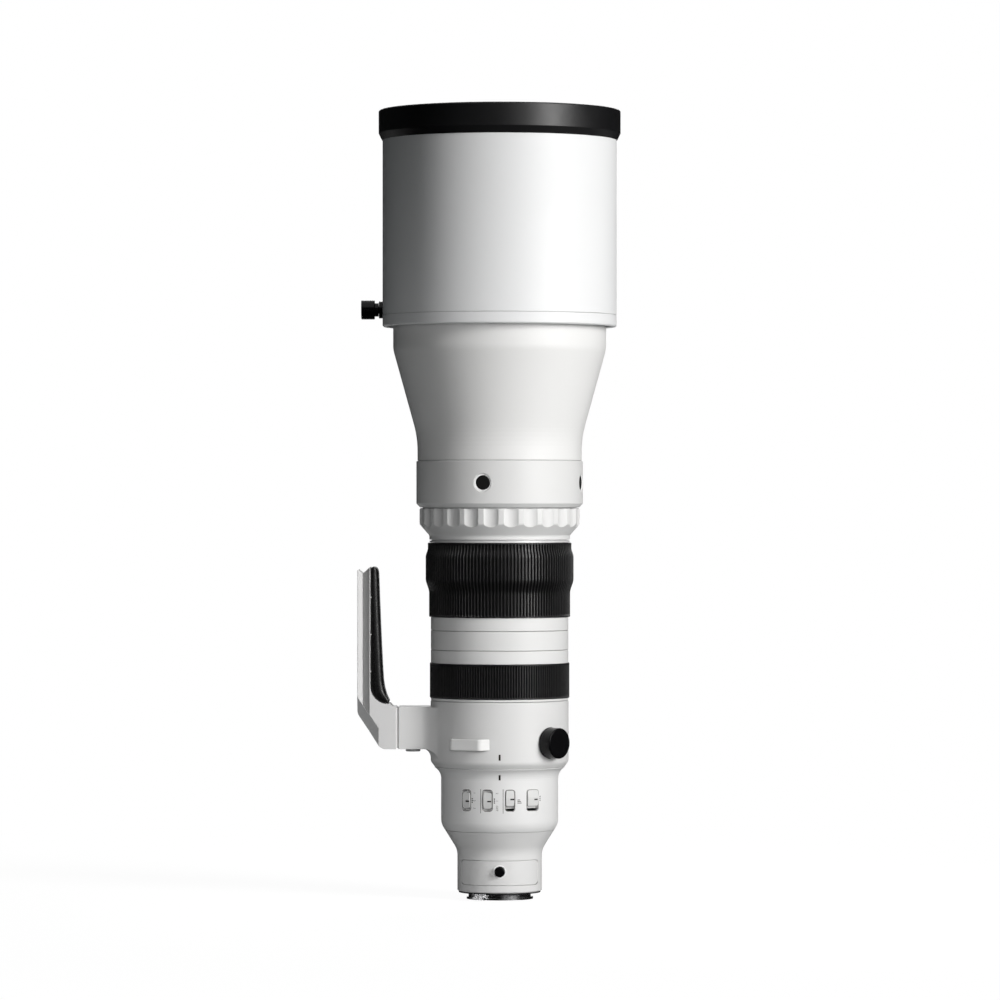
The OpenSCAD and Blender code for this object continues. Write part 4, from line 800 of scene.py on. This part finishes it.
def makeScrews(s):
    restart()
    bpy.ops.mesh.primitive_cone_add(vertices=s["sides"], radius1=s["headRadius"], radius2=s["shankRadius"],
                                    depth=s["headHeight"], location=(0, 0, s["headHeight"] / 2))
    screw = bpy.context.object
    settle(screw)
    pick(screw, "polygons", facesUp)
    bpy.ops.mesh.extrude_region_move(TRANSFORM_OT_translate={"value": (0, 0, s["length"] - s["headHeight"])})
    pick(screw, "edges", lambda edge: all(screw.data.vertices[v].co.z < tiny for v in edge.vertices))
    bevelPicked(s["edge"], segments=2)
    cutCross(screw, s)
    copies = []
    for n in range(s["count"]):
        twin = copyPiece(screw)
        angle = math.radians(s["firstAngle"] + 360 / s["count"] * n)
        twin.location = (s["circle"] * math.cos(angle), s["circle"] * math.sin(angle), 0)
        twin.rotation_euler = (0, 0, s["turn"] + s["turnStep"] * n)
        settle(twin)
        copies.append(twin)
    bpy.data.objects.remove(screw)
    whole = joinPieces("mountScrews", copies)
    dressPiece(whole, "screwSteel", "barrel", angle=30)
    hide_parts("mount_screws")


makeScrews(screws)
print("mount screws made")


# Threads in the foot's two tripod holes

threads = {
    "threadLarge": {"z": 0.1727, "radius": 0.00397, "pitch": 0.0015875, "turns": 4},
    "threadSmall": {"z": 0.2107, "radius": 0.00255, "pitch": 0.00127, "turns": 5},
}
# Height is the ridge's share of the pitch, and sunk the share of the ridge that goes into the wall
threadForm = {"x": -0.1112, "inset": 0.0006, "height": 0.28, "sunk": 0.1, "steps": 32}


def makeThread(name, t, f):
    restart()
    ridge = t["pitch"] * f["height"]
    bpy.ops.mesh.primitive_circle_add(vertices=3, radius=ridge, fill_type="NOTHING",
                                      rotation=(math.pi / 2, 0, -math.pi / 2))
    thread = bpy.context.object
    settle(thread)
    thread.rotation_euler = (0, 0, math.pi / 2)        # a triangle in a plane through the axis, crest inwards
    thread.location = (t["radius"] - f["sunk"] * ridge, 0, 0)
    settle(thread)
    applyModifier(thread, "SCREW", axis="Z", angle=2 * math.pi, screw_offset=t["pitch"],
                  iterations=t["turns"], steps=f["steps"], render_steps=f["steps"])
    editAll()
    bpy.ops.mesh.remove_doubles(threshold=tiny)
    bpy.ops.mesh.fill_holes(sides=4)
    faceOutward()
    thread.rotation_euler = (0, math.pi / 2, 0)
    thread.location = (f["x"] + f["inset"], 0, t["z"])
    settle(thread)
    thread.name = name
    dressPiece(thread, "offWhitePaint", "tripod_collar", angle=40)


for threadName, threadValues in threads.items():
    makeThread(threadName, threadValues, threadForm)
print("threads cut")


# Foot: its hand pad, the small tabs where the pad meets it, and the strap loops

pad = {        # in mm, in side view: up the foot's face, round its bend, and back along the hand's side
    "back": ((-100.9, 253.6), (-100.9, 161.7), (-100.4, 158.2), (-99.05, 155), (-96.9, 152.2), (-94.1, 150.05),
             (-90.9, 148.7), (-87.9, 148.2)),
    "front": ((-85.9, 148.3), (-85.8, 149.3), (-86.2, 150.2), (-88.0, 153.6), (-89.7, 159.3), (-90.8, 165.6),
              (-91.6, 178), (-92.8, 203), (-93.9, 230), (-94.5, 247), (-94.7, 251.8), (-95.7, 254.2),
              (-97.5, 255.3), (-99.6, 255.3)),
    "crowned": (3, -2),        # the points of the front between which its edges are rounded
    "width": 0.0344, "crown": 0.0042, "voxel": 0.0008, "smooth": 22,
}
tabs = {"z": (0.2313, 0.2022, 0.1734), "x": -0.1011, "y": 0.01706, "size": (0.0016, 0.0005, 0.001),
        "edge": 0.0002}
loops = {"voxel": 0.0004, "smooth": 14}


def smoothForm(form, voxel, rounds):
    applyModifier(form, "REMESH", mode="VOXEL", voxel_size=voxel)
    applyModifier(form, "SMOOTH", factor=0.5, iterations=rounds)


def makePad(p):
    restart()
    sidePoints = [(x / 1000, z / 1000) for x, z in p["back"] + p["front"]]
    bpy.ops.mesh.primitive_circle_add(vertices=len(sidePoints), fill_type="NGON")
    cushion = bpy.context.object
    for vertex, (x, z) in zip(cushion.data.vertices, sidePoints):
        vertex.co = (x, -p["width"] / 2, z)
    editAll()
    bpy.ops.mesh.extrude_region_move(TRANSFORM_OT_translate={"value": (0, p["width"], 0)})
    faceOutward()
    start, stop = p["crowned"]
    crown = {(round(x / 1000, 5), round(z / 1000, 5)) for x, z in p["front"][start:stop]}
    corners = [corner.co.copy() for corner in cushion.data.vertices]

    def onCrown(edge):        # along the rounded part, on one side
        first, second = (corners[v] for v in edge.vertices)
        return first.y * second.y > 0 and all((round(c.x, 5), round(c.z, 5)) in crown for c in (first, second))

    pick(cushion, "edges", onCrown)
    bevelPicked(p["crown"], segments=5)
    smoothForm(cushion, p["voxel"], p["smooth"])
    cushion.name = "handPad"
    dressPiece(cushion, "padLeather", "tripod_collar", angle=60)
    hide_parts("foot_pad")


def makeTabs(t):
    pieces = []
    for z in t["z"]:
        for side in (-1, 1):
            tab = box(t["size"], at=(t["x"], side * t["y"], z))
            pick(tab, "edges", lambda edge: True)
            bevelPicked(t["edge"], segments=2)
            pieces.append(tab)
    # the tabs take the foot's paint, with its painted shade
    dressPiece(joinPieces("footTabs", pieces), "shadedFootPaint", "tripod_collar", angle=30)


def makeLoops(s):        # the solid's own form with soft edges and bends
    restart()
    bars = copyPiece(nodes["strap_loops"])
    bars.parent = None
    for label in list(bars.keys()):
        del bars[label]
    makeActive(bars)
    editAll()
    bpy.ops.mesh.remove_doubles(threshold=tiny)
    bpy.ops.object.mode_set(mode="OBJECT")
    smoothForm(bars, s["voxel"], s["smooth"])
    bars.name = "strapLoops"
    dressPiece(bars, "offWhitePaint", "tripod_collar", angle=60)
    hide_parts("strap_loops")


makePad(pad)
makeTabs(tabs)
makeLoops(loops)
print("pad and loops made")


# Rubber grips, with ribs that bend over the zoom grip's bulge as in the photo

grips = {        # bends are heights and radii between which the outline is eased
    "zoomGrip": {"node": "zoom_rubber", "body": "zoom_ring", "ribs": 130, "bore": 0.05305,
                 "bends": ((0.21585, 0.0553), (0.2345, 0.0553), (0.2456, 0.058), (0.2627, 0.058),
                           (0.2697, 0.0563), (0.27385, 0.0563))},
    "focusGrip": {"node": "focus_rubber", "body": "focus_ring", "ribs": 160, "bore": 0.05305,
                  "bends": ((0.1525, 0.0547), (0.1798, 0.0547))},
}
rib = {"steps": 8, "rows": 60, "deep": 0.0017, "lift": 0.39, "slope": 0.9, "rim": 0.0008, "rise": 0.0009,
       "edge": 0.0003}        # lift and slope set how wide the grooves are, and how steep their sides


def gripRadius(bends, z):        # the outline, eased from bend to bend
    for (z0, r0), (z1, r1) in zip(bends, bends[1:]):
        if z <= z1:
            share = (z - z0) / (z1 - z0)
            return r0 + (r1 - r0) * share * share * (3 - 2 * share)
    return bends[-1][1]


def gripSection(g, r):        # height, radius and depth of the grooves, from the lower end to the upper
    (low, lowRadius), (high, highRadius) = g["bends"][0], g["bends"][-1]
    start, stop = low + r["rim"], high - r["rim"]
    section = [(low, g["bore"], 0), (low, lowRadius - r["edge"], 0), (low + r["edge"], lowRadius, 0)]
    for n in range(r["rows"] + 1):
        z = start + (stop - start) * n / r["rows"]
        depth = max(0, min(1, (z - start) / r["rise"], (stop - z) / r["rise"]))
        section.append((z, gripRadius(g["bends"], z), depth * r["deep"]))
    section += [(high - r["edge"], highRadius, 0), (high, highRadius - r["edge"], 0), (high, g["bore"], 0)]
    return section


def makeGrip(name, g, r):
    restart()
    count = g["ribs"] * r["steps"]
    form = bmesh.new()
    rings = []
    for z, radius, deep in gripSection(g, r):
        ring = []
        for n in range(count):
            turn = 2 * math.pi * n / count
            place = (n % r["steps"]) / r["steps"]
            wave = min(1, max(0, (math.cos(2 * math.pi * place) + r["lift"]) / r["slope"]))
            reach = radius - deep * wave
            ring.append(form.verts.new((reach * math.sin(turn), -reach * math.cos(turn), z)))
        rings.append(ring)
    for first, second in zip(rings, rings[1:] + rings[:1]):
        for n in range(count):
            after = (n + 1) % count
            form.faces.new((first[n], first[after], second[after], second[n]))
    bmesh.ops.recalc_face_normals(form, faces=form.faces)
    mesh = bpy.data.meshes.new(name)
    form.to_mesh(mesh)
    form.free()
    grip = bpy.data.objects.new(name, mesh)
    bpy.context.collection.objects.link(grip)
    dressPiece(grip, "gripRubber", g["body"], angle=35)
    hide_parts(g["node"])


for gripName, gripValues in grips.items():
    makeGrip(gripName, gripValues, rib)
print("grips made")


# Rims round the filter drawer's knob and the four buttons, and the strips that close the drawer panel's sides

ringForm = {"sides": 64, "edgeSteps": 3}
knobRing = {"out": 0.0053, "in": 0.00412, "deep": 0.0014, "edge": 0.0003, "face": 0.03355, "z": 0.01795,
            "angle": 0}
buttonRing = {"out": 0.00705, "in": 0.00565, "deep": 0.00038, "edge": 0.0002, "face": 0.0646}
drawerStrip = {"x": 0.029625, "y": -0.01452, "z": 0.01675, "size": (0.00024, 0.0012, 0.0155),
               "slant": 0.00044}        # slant follows the barrel's slope between the strip's two edges


def makeRing(r):        # a flat ring in the barrel's side, with its face at r["face"] from the axis
    ring = flatRing(r["out"], r["in"], r["deep"], ringForm["sides"])
    corners = [corner.co.copy() for corner in ring.data.vertices]

    def onRim(edge):        # on the face, and along the ring
        first, second = (corners[v] for v in edge.vertices)
        return min(first.z, second.z) > r["deep"] - tiny and abs(first.xy.length - second.xy.length) < tiny

    pick(ring, "edges", onRim)
    bevelPicked(r["edge"], segments=ringForm["edgeSteps"])
    ring.rotation_euler = (math.pi / 2, 0, r["angle"])
    reach = r["face"] - r["deep"]
    ring.location = (reach * math.sin(r["angle"]), -reach * math.cos(r["angle"]), r["z"])
    settle(ring)
    return ring


def ringAt(node):        # the ring round one button, from where the button is
    places = [corner.co for corner in nodes[node].data.vertices]
    x, y, z = ((min(place[i] for place in places) + max(place[i] for place in places)) / 2 for i in range(3))
    return makeRing({**buttonRing, "z": z, "angle": math.atan2(x, -y)})


def makeStrips(d):
    strips = []
    for side in (-1, 1):
        strip = box(d["size"], at=(side * d["x"], d["y"] + d["size"][1] / 2, d["z"]))
        pick(strip, "vertices", lambda v: v.co.y < d["y"] + tiny and abs(v.co.x) < d["x"])
        bpy.ops.transform.translate(value=(0, -d["slant"], 0))
        bpy.ops.object.mode_set(mode="OBJECT")
        strips.append(strip)
    dressPiece(joinPieces("drawerStrips", strips), "offWhitePaint", "barrel")


# the rims fill the recesses with a brighter paint: a painted highlight where the chamfers shine, covering the
# shade there
knobRim = makeRing(knobRing)
knobRim.name = "knobRim"
dressPiece(knobRim, "ringHighlightPaint", "filter_drawer", angle=30)
buttonRims = joinPieces("buttonRims", [ringAt("button_" + str(n)) for n in (1, 2, 3, 4)])
dressPiece(buttonRims, "ringHighlightPaint", "barrel", angle=30)
makeStrips(drawerStrip)
print("rims and strips made")
